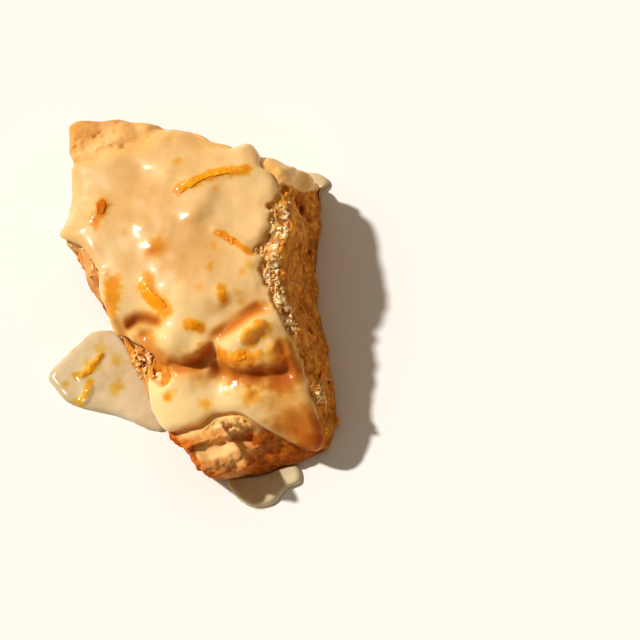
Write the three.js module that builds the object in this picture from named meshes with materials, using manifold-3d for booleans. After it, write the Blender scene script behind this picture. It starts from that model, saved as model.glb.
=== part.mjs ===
// A broken piece of a glazed orange scone. The craggy crust and the crumbly break are one solid. The glaze
// that coats the top is a thin solid with candied peel fused to it, and the glaze that ran off lies in pools
// round the foot. Millimetres, +Z up, the origin under the middle of the piece on the surface it stands on.
import * as THREE from "three";
import { ImprovedNoise } from "three/addons/math/ImprovedNoise.js";
import { mergeVertices } from "three/addons/utils/BufferGeometryUtils.js";
import Module from "manifold-3d";

const wasm = await Module();
wasm.setup();

// Driving sizes of the scone
const PLATEAU_HEIGHT = 27.5;
const CROWN_RISE = 1.8;
const CROWN_CENTRE = [-2, 12];
const CROWN_REACH = [40, 46];
const FRONT_FALL = 4.2;
const FRONT_FALL_FROM = -3;
const FRONT_FALL_TO = -20;
const LEDGE_HEIGHT = 18.2;
const LEDGE_SLOPE = 0.24;
const FOOT_TUCK = 1.2;
const FOOT_ROUND = 2.4;

// Driving sizes of the glaze
const GLAZE_THICKNESS = 1.4;
const GLAZE_BEAD = 1.6;
const BEAD_ROW = 0.3;
const BEAD_ROW_THICKNESS = 0.7;
const GLAZE_GAP = 0.35;
const POOL_THICKNESS = 1.7;
const POOL_GAP = 0.35;

// Mesh density: cells across and along the top, rows out to the edge of the glaze, and rows on to the foot
const CELLS_ACROSS = 20;
const CELLS_ALONG = 32;
const GLAZED_ROWS = 7;
const BARE_ROWS = 12;
const RIM_INSET = 0.4;
const TOP_CENTRE = new THREE.Vector2(0, 4);
const CORNER_SMOOTHING = 3;
const TOP_RELAXING = 40;
const NORMAL_SMOOTHING = 4;
const SKIN_SMOOTHING = 1;

// Corners of the piece: the foot on the table, and the rim where the wall turns into the top
const CORNERS = {
  frontLeft: { foot: [4.5, -45], rim: [-7.5, -33.5] },
  frontRight: { foot: [34, -38.5], rim: [29.5, -31] },
  backRight: { foot: [32.5, 33.5], rim: [23, 31.2] },
  backLeft: { foot: [-30, 47.8], rim: [-29.4, 46.6] },
};

// The four walls, anticlockwise. A lean below 1 makes a wall swell low down, rimRadius rounds its upper edge,
// and glazeRun is how far the glaze has run past the rim, as [share of the wall's length, millimetres].
const WALLS = [
  {
    name: "front",
    from: "frontLeft",
    to: "frontRight",
    cells: CELLS_ACROSS,
    between: [
      { foot: [13, -44.5], rim: [6, -34] },
      { foot: [23, -42.5], rim: [18, -33.5] },
    ],
    rimRadius: 3.5,
    lean: 0.85,
    crumb: 0,
    glazeRun: [[0, 3], [0.2, 1.5], [0.4, -1.8], [0.55, -1.2], [0.68, 6], [0.8, 12], [0.92, 13], [1, 11]],
  },
  {
    name: "break",
    from: "frontRight",
    to: "backRight",
    cells: CELLS_ALONG,
    between: [
      { foot: [35.5, -25], rim: [28.8, -22] },
      { foot: [32.5, -9], rim: [26.5, -11] },
      { foot: [30.4, 4], rim: [24.4, 2] },
      { foot: [31, 17], rim: [26, 14] },
      { foot: [31.5, 27], rim: [26, 24] },
    ],
    rimRadius: 2.2,
    lean: 0.42,
    crumb: 1,
    glazeRun: [[0, 11], [0.06, 5], [0.11, 1.2], [0.24, 0], [0.36, -0.6], [0.41, -1.4], [0.47, -3.2],
      [0.51, -1.5], [0.55, -4.2], [0.61, -3.1], [0.68, -2.6], [0.74, -1.1], [0.8, -0.8], [0.9, -2], [1, -3.5]],
  },
  {
    name: "back",
    from: "backRight",
    to: "backLeft",
    cells: CELLS_ACROSS,
    between: [
      { foot: [16.5, 36.5], rim: [14.5, 33.6] },
      { foot: [1, 42], rim: [1, 39.4] },
      { foot: [-13, 46.5], rim: [-12, 44] },
    ],
    rimRadius: 4,
    lean: 0.7,
    crumb: 0,
    glazeRun: [[0, -3.5], [0.06, -1], [0.13, 5], [0.19, 7], [0.26, 4], [0.32, 0], [0.42, -1.5], [0.49, 3],
      [0.56, 6], [0.62, 3], [0.68, -3], [0.78, -9], [1, -13]],
  },
  {
    name: "outer edge",
    from: "backLeft",
    to: "frontLeft",
    cells: CELLS_ALONG,
    between: [
      { foot: [-28, 36], rim: [-26.2, 35] },
      { foot: [-26.8, 28], rim: [-25.6, 27.5] },
      { foot: [-32.8, 21], rim: [-26.4, 21] },
      { foot: [-28, 13.5], rim: [-26.2, 13] },
      { foot: [-24.2, 3], rim: [-22.2, 2.5] },
      { foot: [-17.5, -10], rim: [-16.8, -9] },
      { foot: [-9, -27], rim: [-11.2, -24] },
    ],
    rimRadius: 4,
    lean: 0.7,
    crumb: 0,
    glazeRun: [[0, -13], [0.08, -7], [0.125, 0], [0.19, 3], [0.25, 5], [0.33, 7], [0.39, 8], [0.45, 5],
      [0.53, -1.5], [0.625, -3.5], [0.69, 2], [0.74, 8], [0.78, 1], [0.81, -5], [0.835, -8.5], [0.86, -7],
      [0.89, -1], [0.92, 4], [1, 3]],
  },
];

// Where the plateau steps down to the front ledge, as [x, y], how long the rounded edge above it is, and
// how bluntly it ends: 1 meets the ledge at a slope, and less makes it hang like a lobe
const STEP_LINE = [[-24, -10], [-14, -13], [-8, -16], [-3.6, -19.4], [2.3, -22], [6.4, -21], [8.8, -18.6],
  [11.5, -22], [15, -24.8], [20, -25.7], [25, -25.6], [30, -28]];
const STEP_RUN = [[-22, 16], [-10, 9], [-4, 5], [14, 5], [22, 9], [30, 18]];
const STEP_BLUNTNESS = [[-14, 1.2], [-6, 0.5], [16, 0.5], [26, 1.2]];

// Lumps and hollows of the top, each a round swell of the given reach and height
const TOP_LUMPS = [
  { name: "middle hump", at: [2, 19], reach: 11, height: 1.4 },
  { name: "back valley", at: [-8, 30], reach: 9, height: -1.2 },
  { name: "back hump", at: [16, 30], reach: 5.5, height: 1.6 },
  { name: "side lobe", at: [-22, 15], reach: 7, height: 0.9 },
  { name: "low hump", at: [5, -3], reach: 9, height: 1.2 },
  { name: "front lobe", at: [-0.5, -17.5], reach: 6, height: 2 },
  { name: "recess", at: [-11.5, -8.5], reach: 4.8, height: -4.6 },
  { name: "crease", at: [13.5, -10.5], reach: 3.4, height: -2 },
  { name: "crease end", at: [19, -7.5], reach: 3.4, height: -1.6 },
  { name: "peel bump", at: [18, -17.5], reach: 5.5, height: 3.6 },
  { name: "cave", at: [-11.5, -18.5], reach: 4.5, height: -3.4 },
  { name: "ledge left bump", at: [-1, -26], reach: 6, height: 1.2 },
  { name: "ledge right bump", at: [13, -28], reach: 4.5, height: 1.6 },
  { name: "groove", at: [20.5, -27.5], reach: 4, height: -1.6 },
  { name: "worn back corner", at: [26, 33], reach: 6, height: -2.5 },
];

// Crags of the crust and lumps of the crumb, by wavelength and height, and the crack across the front wall
const CRAGS = [{ wave: 8, height: 1.5 }, { wave: 3.8, height: 0.6 }];
const CRUMBS = [{ wave: 5, height: 1.5 }, { wave: 2.7, height: 0.9 }];
const COVERED_RELIEF = 0.12;
const RELIEF_FADE = 3;
const FRONT_CRACK = { behind: -30, from: 0, to: 15, height: 8.5, slope: 0.12, width: 1.4, depth: 1.8 };
const BREAK_PITS = [
  { at: [29, 24, 17], reach: 4, depth: 2.4 },
  { at: [30, 12, 8], reach: 3.5, depth: 2 },
  { at: [29, -3, 12], reach: 4.5, depth: 1.8 },
];

// Strips of peel on the glaze: the ends and the middle of each, its width, and how high it stands
const PEEL = [
  { name: "long strip", path: [[0.1, 23.2], [7, 25.2], [17.4, 26.9]], width: 2, height: 0.8 },
  { name: "thin strip", path: [[9.5, 11.6], [14.5, 8.4], [19, 4.8]], width: 1.5, height: 0.7 },
  { name: "bent strip", path: [[-7, -1.2], [-7.6, -4], [-3.8, -7.6]], width: 2.6, height: 0.9 },
  { name: "side fold", path: [[-18, 2.4], [-18.6, -0.5], [-18.4, -4]], width: 2.4, height: 0.9 },
  { name: "side chip", path: [[-19.6, 20.4], [-20.4, 18.6], [-21.8, 16.4]], width: 2, height: 0.8 },
  { name: "small chip", path: [[10.8, -5.4], [11.3, -6.9], [11.6, -8.4]], width: 1.8, height: 0.7 },
  { name: "curled chip", path: [[2.4, -12.8], [4.2, -13.3], [5.8, -14.2]], width: 1.8, height: 0.8 },
  { name: "fat strip", path: [[15.5, -18.6], [18.8, -16], [22, -13.4]], width: 3.2, height: 1.1 },
  { name: "ledge chip", path: [[14.4, -26.6], [15.6, -28.2], [16.8, -29.8]], width: 2.2, height: 0.8 },
];
const PEEL_SINK = 0.55;
const PEEL_TAPER = 0.45;
const PEEL_CROWN = 0.5;
const PEEL_STEPS = 6;

// Pools of glaze on the table: outline points, anticlockwise
const POOLS = [
  {
    name: "glaze_pool_side",
    outline: [[-21, -2], [-28.2, -1.1], [-31.5, -3.8], [-36, -8], [-38.9, -12.4], [-37.5, -15.5],
      [-35.3, -19.3], [-32, -21.4], [-21, -25], [-10, -30], [-5, -26], [-12, -12]],
    peel: [
      { name: "long strip", path: [[-25.4, -8], [-28, -11], [-30.8, -14]], width: 1.8, height: 0.7 },
      { name: "short strip", path: [[-28.2, -16.5], [-29.2, -19], [-30, -21.3]], width: 2, height: 0.8 },
    ],
  },
  {
    name: "glaze_pool_front",
    outline: [[24, -40], [10, -38], [6.5, -43], [8.5, -48], [13, -51.8], [18.5, -51.6], [22.5, -47.6],
      [26, -46]],
    peel: [],
  },
  {
    name: "glaze_pool_back",
    outline: [[28, 28], [33, 31], [33.6, 34.6], [30.5, 37.6], [24, 38.4], [18, 39.5], [14, 36]],
    peel: [],
  },
];
const POOL_SECTORS = 32;
const POOL_SECTION = [[0, 0], [1, 0], [0.99, 0.35], [0.95, 0.75], [0.86, 1], [0.5, 0.96], [0, 0.95]];

const CRUST_COLOUR = 0xd9974a;
const GLAZE_COLOUR = 0xf0c88c;
const POOL_COLOUR = 0xe8cfa6;

const noise = new ImprovedNoise();

// Value at x of a line through [x, value] points, eased between them.
function along(points, x) {
  const last = points.length - 1;
  if (x <= points[0][0]) return points[0][1];
  if (x >= points[last][0]) return points[last][1];
  const i = points.findIndex((point) => point[0] > x) - 1;
  const share = (x - points[i][0]) / (points[i + 1][0] - points[i][0]);
  return THREE.MathUtils.lerp(points[i][1], points[i + 1][1], THREE.MathUtils.smoothstep(share, 0, 1));
}

// Height of the scone's top: a crowned plateau that falls towards the front, the step down to the front
// ledge, and the lumps.
function topHeight(x, y) {
  const acrossShare = (x - CROWN_CENTRE[0]) / CROWN_REACH[0];
  const alongShare = (y - CROWN_CENTRE[1]) / CROWN_REACH[1];
  const crown = CROWN_RISE * (1 - 2 * (acrossShare ** 2 + alongShare ** 2));
  const fall = FRONT_FALL * THREE.MathUtils.smoothstep(-y, -FRONT_FALL_FROM, -FRONT_FALL_TO);
  const plateau = PLATEAU_HEIGHT + crown - fall;
  const past = y - along(STEP_LINE, x);
  const ledge = LEDGE_HEIGHT + LEDGE_SLOPE * Math.min(0, past);
  const short = 1 - THREE.MathUtils.clamp(past / along(STEP_RUN, x), 0, 1);
  let height = THREE.MathUtils.lerp(ledge, plateau, (1 - short * short) ** along(STEP_BLUNTNESS, x));
  for (const lump of TOP_LUMPS) {
    const apart = Math.hypot(x - lump.at[0], y - lump.at[1]) / lump.reach;
    height += lump.height * Math.exp(-apart * apart);
  }
  return height;
}

// One closed ring of stations round the piece, each with its foot, its rim and the wall's own values.
function stationRing() {
  const ring = [];
  for (const wall of WALLS) {
    const stops = [CORNERS[wall.from], ...wall.between, CORNERS[wall.to]];
    const foot = new THREE.SplineCurve(stops.map((stop) => new THREE.Vector2(...stop.foot)));
    const rim = new THREE.SplineCurve(stops.map((stop) => new THREE.Vector2(...stop.rim)));
    for (let i = 0; i < wall.cells; i++) {
      const share = i / wall.cells;
      ring.push({
        foot: foot.getPoint(share),
        rim: rim.getPoint(share),
        run: along(wall.glazeRun, share),
        rimRadius: wall.rimRadius,
        lean: wall.lean,
        crumb: wall.crumb,
      });
    }
  }
  for (let pass = 0; pass < CORNER_SMOOTHING; pass++) smoothRing(ring);
  return ring;
}

// Rounds the corners of the ring by averaging each station with its neighbours.
function smoothRing(ring) {
  const before = ring.map((station) => ({
    ...station,
    foot: station.foot.clone(),
    rim: station.rim.clone(),
  }));
  ring.forEach((station, i) => {
    const left = before[(i + ring.length - 1) % ring.length];
    const right = before[(i + 1) % ring.length];
    for (const key of ["foot", "rim"]) {
      const beside = left[key].clone().lerp(right[key], 0.5);
      station[key].lerp(beside, 0.5);
    }
    for (const key of ["rimRadius", "lean", "crumb"]) {
      station[key] = (2 * before[i][key] + left[key] + right[key]) / 4;
    }
  });
}

// The section of the scone at one station, walked from the inset ring on the top, over the rim, to the foot.
function sectionOf(station) {
  const inset = station.rim.clone().lerp(TOP_CENTRE, RIM_INSET);
  const topRun = inset.distanceTo(station.rim);
  const rimHeight = topHeight(station.rim.x, station.rim.y);
  const lean = station.foot.distanceTo(station.rim);
  const wallRun = Math.hypot(lean, rimHeight);
  const sharpPoint = (walked) => {
    if (walked <= topRun) {
      const plan = inset.clone().lerp(station.rim, walked / topRun);
      return new THREE.Vector3(plan.x, plan.y, topHeight(plan.x, plan.y));
    }
    const down = Math.min(1, (walked - topRun) / wallRun);
    const plan = station.rim.clone().lerp(station.foot, down ** station.lean);
    const height = rimHeight * (1 - down);
    const tuck = FOOT_TUCK * Math.max(0, 1 - height / FOOT_ROUND) ** 2;
    plan.addScaledVector(station.foot.clone().sub(TOP_CENTRE).normalize(), -tuck);
    return new THREE.Vector3(plan.x, plan.y, height);
  };
  const point = (walked) => {
    const radius = station.rimRadius;
    const share = (walked - topRun + radius) / (2 * radius);
    if (share <= 0 || share >= 1) return sharpPoint(walked);
    const bend = new THREE.QuadraticBezierCurve3(
      sharpPoint(topRun - radius),
      sharpPoint(topRun),
      sharpPoint(topRun + radius),
    );
    return bend.getPoint(share);
  };
  return { point, length: topRun + wallRun, glazeEdge: topRun + station.run };
}

// The scone's skin, before any relief: the cells of the top, the glazed rows and the bare rows.
function sconeSkin() {
  const ring = stationRing();
  const count = ring.length;
  const sections = ring.map(sectionOf);
  const points = [];
  const bare = [];
  const crumb = [];
  const addPoint = (point, bareShare, crumbShare) => {
    bare.push(bareShare);
    crumb.push(crumbShare);
    return points.push(point) - 1;
  };

  // Distances walked along each section: to the edge of the glaze, close together there, then to the foot.
  const walks = sections.map((section) => {
    const open = section.glazeEdge - GLAZE_BEAD;
    const walked = [];
    for (let row = 0; row <= GLAZED_ROWS - 2; row++) walked.push((open * row) / (GLAZED_ROWS - 2));
    walked.push(section.glazeEdge - GLAZE_BEAD * BEAD_ROW, section.glazeEdge);
    for (let row = 1; row <= BARE_ROWS; row++) {
      walked.push(THREE.MathUtils.lerp(section.glazeEdge, section.length, row / BARE_ROWS));
    }
    return walked;
  });
  const rows = walks[0].map((_, row) =>
    sections.map((section, i) => {
      const bareShare = THREE.MathUtils.smoothstep(walks[i][row] - section.glazeEdge, 0, RELIEF_FADE);
      return addPoint(section.point(walks[i][row]), bareShare, ring[i].crumb);
    }),
  );

  // The cells of the top, blended from the four sides of the innermost row.
  const edge = (i, j) => {
    if (j === 0) return rows[0][i];
    if (i === CELLS_ACROSS) return rows[0][CELLS_ACROSS + j];
    if (j === CELLS_ALONG) return rows[0][2 * CELLS_ACROSS + CELLS_ALONG - i];
    return rows[0][(count - j) % count];
  };
  const cells = [];
  for (let i = 0; i <= CELLS_ACROSS; i++) {
    cells.push([]);
    for (let j = 0; j <= CELLS_ALONG; j++) {
      const onEdge = i === 0 || j === 0 || i === CELLS_ACROSS || j === CELLS_ALONG;
      const blended = blendedPoint(i, j, (a, b) => points[edge(a, b)]);
      cells[i].push(onEdge ? edge(i, j) : addPoint(blended, 0, 0));
    }
  }
  relaxTop(points, cells);
  return { points, bare, crumb, rows, cells };
}

// Evens out the cells of the top, so that a steep stretch has as many points as a flat one.
function relaxTop(points, cells) {
  for (let pass = 0; pass < TOP_RELAXING; pass++) {
    for (let i = 1; i < CELLS_ACROSS; i++) {
      for (let j = 1; j < CELLS_ALONG; j++) {
        const at = points[cells[i][j]];
        const beside = [cells[i - 1][j], cells[i + 1][j], cells[i][j - 1], cells[i][j + 1]];
        const around = beside.map((k) => points[k]);
        const reach = around.reduce((sum, next) => sum + at.distanceTo(next), 0);
        const moved = new THREE.Vector3();
        for (const next of around) moved.addScaledVector(next, at.distanceTo(next) / reach);
        at.set(moved.x, moved.y, topHeight(moved.x, moved.y));
      }
    }
  }
}

// A point inside the top, blended from the points on its four sides and lifted to the top's height.
function blendedPoint(i, j, sidePoint) {
  const u = i / CELLS_ACROSS;
  const v = j / CELLS_ALONG;
  const at = new THREE.Vector3();
  at.addScaledVector(sidePoint(i, 0), 1 - v).addScaledVector(sidePoint(i, CELLS_ALONG), v);
  at.addScaledVector(sidePoint(0, j), 1 - u).addScaledVector(sidePoint(CELLS_ACROSS, j), u);
  at.addScaledVector(sidePoint(0, 0), -(1 - u) * (1 - v));
  at.addScaledVector(sidePoint(CELLS_ACROSS, 0), -u * (1 - v));
  at.addScaledVector(sidePoint(0, CELLS_ALONG), -(1 - u) * v);
  at.addScaledVector(sidePoint(CELLS_ACROSS, CELLS_ALONG), -u * v);
  return new THREE.Vector3(at.x, at.y, topHeight(at.x, at.y));
}

// Two triangles for a cell, split along its shorter diagonal.
function splitCell(points, a, b, c, d) {
  if (points[a].distanceTo(points[c]) <= points[b].distanceTo(points[d])) return [[a, b, c], [a, c, d]];
  return [[a, b, d], [b, c, d]];
}

// Triangles of the skin from the middle of the top out to the given row, by default down to the foot.
function skinFaces({ points, rows, cells }, lastRow = rows.length - 1) {
  const faces = [];
  for (let i = 0; i < CELLS_ACROSS; i++) {
    for (let j = 0; j < CELLS_ALONG; j++) {
      faces.push(...splitCell(points, cells[i][j], cells[i + 1][j], cells[i + 1][j + 1], cells[i][j + 1]));
    }
  }
  for (let row = 0; row < lastRow; row++) {
    const inner = rows[row];
    const outer = rows[row + 1];
    for (let i = 0; i < inner.length; i++) {
      const next = (i + 1) % inner.length;
      faces.push(...splitCell(points, inner[i], outer[i], outer[next], inner[next]));
    }
  }
  return faces;
}

function geometryOf(points, faces) {
  const geometry = new THREE.BufferGeometry().setFromPoints(points);
  geometry.setIndex(faces.flat());
  return geometry;
}

// Smooth normals of a skin, one for each point.
function normalsOf(points, faces) {
  const geometry = geometryOf(points, faces);
  geometry.computeVertexNormals();
  const normal = geometry.getAttribute("normal");
  return points.map((_, i) => new THREE.Vector3().fromBufferAttribute(normal, i));
}

// Each vector averaged with those of the points next to it.
function neighbourMeans(vectors, faces) {
  const sums = vectors.map((vector) => vector.clone());
  const counts = vectors.map(() => 1);
  for (const [a, b, c] of faces) {
    for (const [to, from] of [[a, b], [b, c], [c, a]]) {
      sums[to].add(vectors[from]);
      counts[to] += 1;
    }
  }
  return sums.map((sum, i) => sum.divideScalar(counts[i]));
}

// Normals averaged over a stretch of skin, which open out evenly in creases and over edges.
function softNormals(points, faces) {
  let normals = normalsOf(points, faces);
  for (let pass = 0; pass < NORMAL_SMOOTHING; pass++) {
    normals = neighbourMeans(normals, faces).map((normal) => normal.normalize());
  }
  return normals;
}

// Softens the skin under the glaze, which lies smoothly over every edge.
function softenCovered(skin, faces) {
  for (let pass = 0; pass < SKIN_SMOOTHING; pass++) {
    const means = neighbourMeans(skin.points, faces);
    skin.points.forEach((point, i) => point.lerp(means[i], 1 - skin.bare[i]));
  }
}

function waves(layers, point) {
  return layers.reduce((sum, layer) => {
    const at = point.clone().divideScalar(layer.wave);
    return sum + layer.height * noise.noise(at.x, at.y, at.z);
  }, 0);
}

// Depth of the crack that runs across the front wall.
function crackDepth(point) {
  const { from, to, height, slope, width, depth } = FRONT_CRACK;
  if (point.y > FRONT_CRACK.behind) return 0;
  const middle = height + slope * (point.x - from);
  const begun = THREE.MathUtils.smoothstep(point.x, from - width, from + width);
  const ended = THREE.MathUtils.smoothstep(point.x, to - width, to + width);
  return depth * (begun - ended) * Math.exp(-(((point.z - middle) / width) ** 2));
}

// How far a point of the skin moves out: crags on the crust, lumps and pits on the break.
function reliefAt(point, bareShare, crumbShare) {
  const crust = waves(CRAGS, point) - crackDepth(point);
  let crumb = waves(CRUMBS, point);
  for (const pit of BREAK_PITS) {
    const apart = point.distanceTo(new THREE.Vector3(...pit.at)) / pit.reach;
    crumb -= pit.depth * Math.exp(-apart * apart);
  }
  return THREE.MathUtils.lerp(crust, crumb, crumbShare) * Math.max(COVERED_RELIEF, bareShare);
}

function addRelief(skin, faces) {
  const normals = normalsOf(skin.points, faces);
  skin.points.forEach((point, i) => {
    const foot = THREE.MathUtils.smoothstep(point.z, 0, FOOT_ROUND);
    point.addScaledVector(normals[i], reliefAt(point.clone(), skin.bare[i], skin.crumb[i]) * foot);
  });
  for (const i of skin.rows.at(-1)) skin.points[i].z = 0;
}

// The flat underside, which closes the last row.
function footFaces(skin) {
  const foot = skin.rows.at(-1);
  const outline = foot.map((i) => new THREE.Vector2(skin.points[i].x, skin.points[i].y));
  return THREE.ShapeUtils.triangulateShape(outline, []).map(([a, b, c]) => [foot[a], foot[c], foot[b]]);
}

// The scone's closed surface, grown by a distance and lowered below the table when it serves as a cutter.
function sconeGeometry(skin, grown) {
  const faces = [...skinFaces(skin), ...footFaces(skin)];
  if (!grown) return geometryOf(skin.points, faces);
  const normals = normalsOf(skin.points, faces);
  const points = skin.points.map((point, i) => point.clone().addScaledVector(normals[i], grown));
  for (const i of skin.rows.at(-1)) points[i].z = -1;
  return geometryOf(points, faces);
}

// The glaze follows the skin at a small gap, and its upper face rounds down to its lower one at the edge.
function glazeGeometry(skin) {
  const faces = skinFaces(skin, GLAZED_ROWS);
  const normals = softNormals(skin.points, skinFaces(skin));
  const used = [...new Set(faces.flat())];
  const lower = new Map();
  const upper = new Map();
  const points = [];
  const edge = new Set(skin.rows[GLAZED_ROWS]);
  const bead = new Set(skin.rows[GLAZED_ROWS - 1]);
  for (const i of used) {
    const base = skin.points[i].clone().addScaledVector(normals[i], GLAZE_GAP);
    lower.set(i, points.push(base) - 1);
    if (edge.has(i)) {
      upper.set(i, lower.get(i));
      continue;
    }
    const thickness = bead.has(i) ? GLAZE_THICKNESS * BEAD_ROW_THICKNESS : GLAZE_THICKNESS;
    upper.set(i, points.push(base.clone().addScaledVector(normals[i], thickness)) - 1);
  }
  const top = faces.map((face) => face.map((i) => upper.get(i)));
  const bottom = faces.map(([a, b, c]) => [lower.get(a), lower.get(c), lower.get(b)]);
  return geometryOf(points, [...top, ...bottom]);
}

// Height of a surface straight below a point of the plan.
function surfaceHeight(mesh, x, y) {
  const ray = new THREE.Raycaster(new THREE.Vector3(x, y, 100), new THREE.Vector3(0, 0, -1));
  const hit = ray.intersectObject(mesh)[0];
  return hit ? hit.point.z : 0;
}

// A strip of peel: a bar bent along its path, laid on a surface and sunk into it, with narrowed ends.
function peelGeometry(strip, mesh) {
  const path = new THREE.SplineCurve(strip.path.map((point) => new THREE.Vector2(...point)));
  const bar = new THREE.BoxGeometry(1, 1, 1, PEEL_STEPS, 2, 1);
  const position = bar.getAttribute("position");
  for (let i = 0; i < position.count; i++) {
    const share = position.getX(i) + 0.5;
    const middle = path.getPoint(share);
    const sideways = path.getTangent(share);
    const taper = 1 - PEEL_TAPER * Math.abs(2 * share - 1) ** 4;
    const offset = position.getY(i) * strip.width * taper;
    const x = middle.x - sideways.y * offset;
    const y = middle.y + sideways.x * offset;
    const upper = position.getZ(i) > 0;
    const crown = 1 - PEEL_CROWN * Math.abs(position.getY(i) * 2) ** 2;
    const lift = upper ? strip.height * crown : -PEEL_SINK;
    position.setXYZ(i, x, y, surfaceHeight(mesh, x, y) + lift);
  }
  return bar;
}

function solidOf(geometry) {
  const bare = geometry.clone();
  for (const name of ["normal", "uv"]) bare.deleteAttribute(name);
  const merged = mergeVertices(bare, 1e-3);
  return new wasm.Manifold(
    new wasm.Mesh({
      numProp: 3,
      vertProperties: new Float32Array(merged.getAttribute("position").array),
      triVerts: new Uint32Array(merged.getIndex().array),
    }),
  );
}

function geometryFromSolid(solid) {
  const mesh = solid.getMesh();
  const geometry = new THREE.BufferGeometry();
  geometry.setAttribute("position", new THREE.BufferAttribute(mesh.vertProperties, 3));
  geometry.setIndex(new THREE.BufferAttribute(mesh.triVerts, 1));
  return geometry;
}

// A surface with strips of peel fused to it.
function withPeel(geometry, strips) {
  const mesh = new THREE.Mesh(geometry);
  let fused = solidOf(geometry);
  for (const strip of strips) fused = fused.add(solidOf(peelGeometry(strip, mesh)));
  return geometryFromSolid(fused);
}

// A pool: a flat drop with a rounded edge, spun round its middle and stretched to its outline.
function poolGeometry(pool) {
  const outline = new THREE.CatmullRomCurve3(
    pool.outline.map(([x, y]) => new THREE.Vector3(x, y, 0)),
    true,
  );
  const middle = new THREE.Vector3();
  for (const [x, y] of pool.outline) middle.add(new THREE.Vector3(x, y, 0).divideScalar(pool.outline.length));
  const section = POOL_SECTION.map((point) => new THREE.Vector2(...point));
  const drop = new THREE.LatheGeometry(section, POOL_SECTORS);
  const position = drop.getAttribute("position");
  for (let i = 0; i < position.count; i++) {
    const sector = Math.floor(i / section.length) % POOL_SECTORS;
    const { x: reach, y: height } = section[i % section.length];
    const at = middle.clone().lerp(outline.getPoint(sector / POOL_SECTORS), reach);
    position.setXYZ(i, at.x, at.y, height * POOL_THICKNESS);
  }
  return drop;
}

function finish(colour, roughness) {
  return new THREE.MeshStandardMaterial({ color: colour, roughness, metalness: 0 });
}

function named(name, geometry, material) {
  const mesh = new THREE.Mesh(geometry, material);
  mesh.name = name;
  return mesh;
}

const skin = sconeSkin();
softenCovered(skin, skinFaces(skin));
addRelief(skin, skinFaces(skin));

const piece = new THREE.Group();
piece.add(named("scone", sconeGeometry(skin, 0), finish(CRUST_COLOUR, 0.85)));
piece.add(named("glaze", withPeel(glazeGeometry(skin), PEEL), finish(GLAZE_COLOUR, 0.25)));

const cutter = solidOf(sconeGeometry(skin, POOL_GAP));
for (const pool of POOLS) {
  const cut = geometryFromSolid(solidOf(poolGeometry(pool)).subtract(cutter));
  piece.add(named(pool.name, withPeel(cut, pool.peel), finish(POOL_COLOUR, 0.2)));
}

// The origin goes under the middle of the whole piece.
const box = new THREE.Box3().setFromObject(piece);
const centre = box.getCenter(new THREE.Vector3());
piece.position.set(-centre.x, -centre.y, -box.min.z);

const scone = new THREE.Group();
scone.add(piece);

export default scone;
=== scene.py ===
"""A broken piece of glazed orange scone, dressed over its CAD solids.

Metres, +Z up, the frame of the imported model. The scone's crust and crumb, the
glaze and its three pools are rebuilt from the CAD solids with finer relief. The
candied peel and the crumbs are pieces of their own.
"""

import math

import bmesh
import bpy
import numpy as np
from mathutils import Matrix, Vector, noise
from mathutils.bvhtree import BVHTree
from mathutils.kdtree import KDTree


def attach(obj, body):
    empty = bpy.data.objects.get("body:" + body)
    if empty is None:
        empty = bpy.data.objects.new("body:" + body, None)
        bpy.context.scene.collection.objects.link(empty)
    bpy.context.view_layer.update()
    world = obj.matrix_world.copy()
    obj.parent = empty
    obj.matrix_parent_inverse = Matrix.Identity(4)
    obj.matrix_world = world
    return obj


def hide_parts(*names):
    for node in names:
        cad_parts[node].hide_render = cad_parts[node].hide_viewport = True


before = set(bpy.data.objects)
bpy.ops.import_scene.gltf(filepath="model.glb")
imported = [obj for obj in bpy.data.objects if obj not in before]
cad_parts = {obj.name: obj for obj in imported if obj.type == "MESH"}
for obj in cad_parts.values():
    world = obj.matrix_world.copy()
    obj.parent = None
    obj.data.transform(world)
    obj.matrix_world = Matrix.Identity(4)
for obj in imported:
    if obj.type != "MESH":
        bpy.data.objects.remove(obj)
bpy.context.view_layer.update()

MM = 0.001
WELD = 0.001 * MM

# The view. Photo places are pixels of the square picture, from its top left.
PHOTO_SIZE = 640
PIXELS_PER_METRE = 4000
CAMERA_AZIMUTH = math.radians(25)
CAMERA_ELEVATION = math.radians(65)
CAMERA_DISTANCE = 1.5
SENSOR_WIDTH = 36.0
PICTURE_CENTRE = Vector((34.72, -6.13, 14.0)) * MM

# Rows and columns of the photo over which something fades in or out.
PALE_ROWS_IN = (198, 212)
PALE_ROWS_OUT = (326, 342)
TORN_ROWS = (190, 202)
SOFT_EDGE_ROWS = (148, 172)
BACK_CRUST_ROWS = (170, 200)
BACK_CRUST_COLUMNS = (200, 240)
# Where the back shelf is painted paler, as painted light.
SHELF_COLUMNS = (252, 266)
LEFT_WALL_ROWS = (230, 260)
# The right end of the front crust, which is painted into shade.
SHADED_END_COLUMNS = (238, 268)
LOWER_FRONT_ROWS = (440, 458)
FRONT_CORNER_ROWS = (432, 442)
FRONT_CORNER_COLUMNS = (306, 322)
# Where the glaze is painted a paler cream, as painted light.
PAINTED_LIGHT_ROWS = (250, 320)
PAINTED_LIGHT_COLUMNS = (190, 250)

# Where the crumb shows: the broken side below the edge of the back crust, and spots on the left. The broken
# side is painted deep brown as shade, and some of the crumb keeps a pale, lit tone. A spot is (photo place,
# radius in mm, share).
BREAK_START_X = 21 * MM
BACK_CRUST_EDGE = [(250, 170), (275, 186), (284, 184), (292, 187), (303, 192), (332, 190)]
CRUMB_SPOTS = [
    ((143, 364), 6.0, 1.0), ((68, 242), 2.6, 1.0), ((78, 256), 2.0, 1.0), ((82, 268), 2.2, 1.0),
    ((99, 311), 1.8, 1.0),
]
PALE_SPOTS = [((322, 392), 4.4, 1.0), ((276, 208), 2.0, 0.6), ((140, 360), 6.0, 0.8)]

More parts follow.
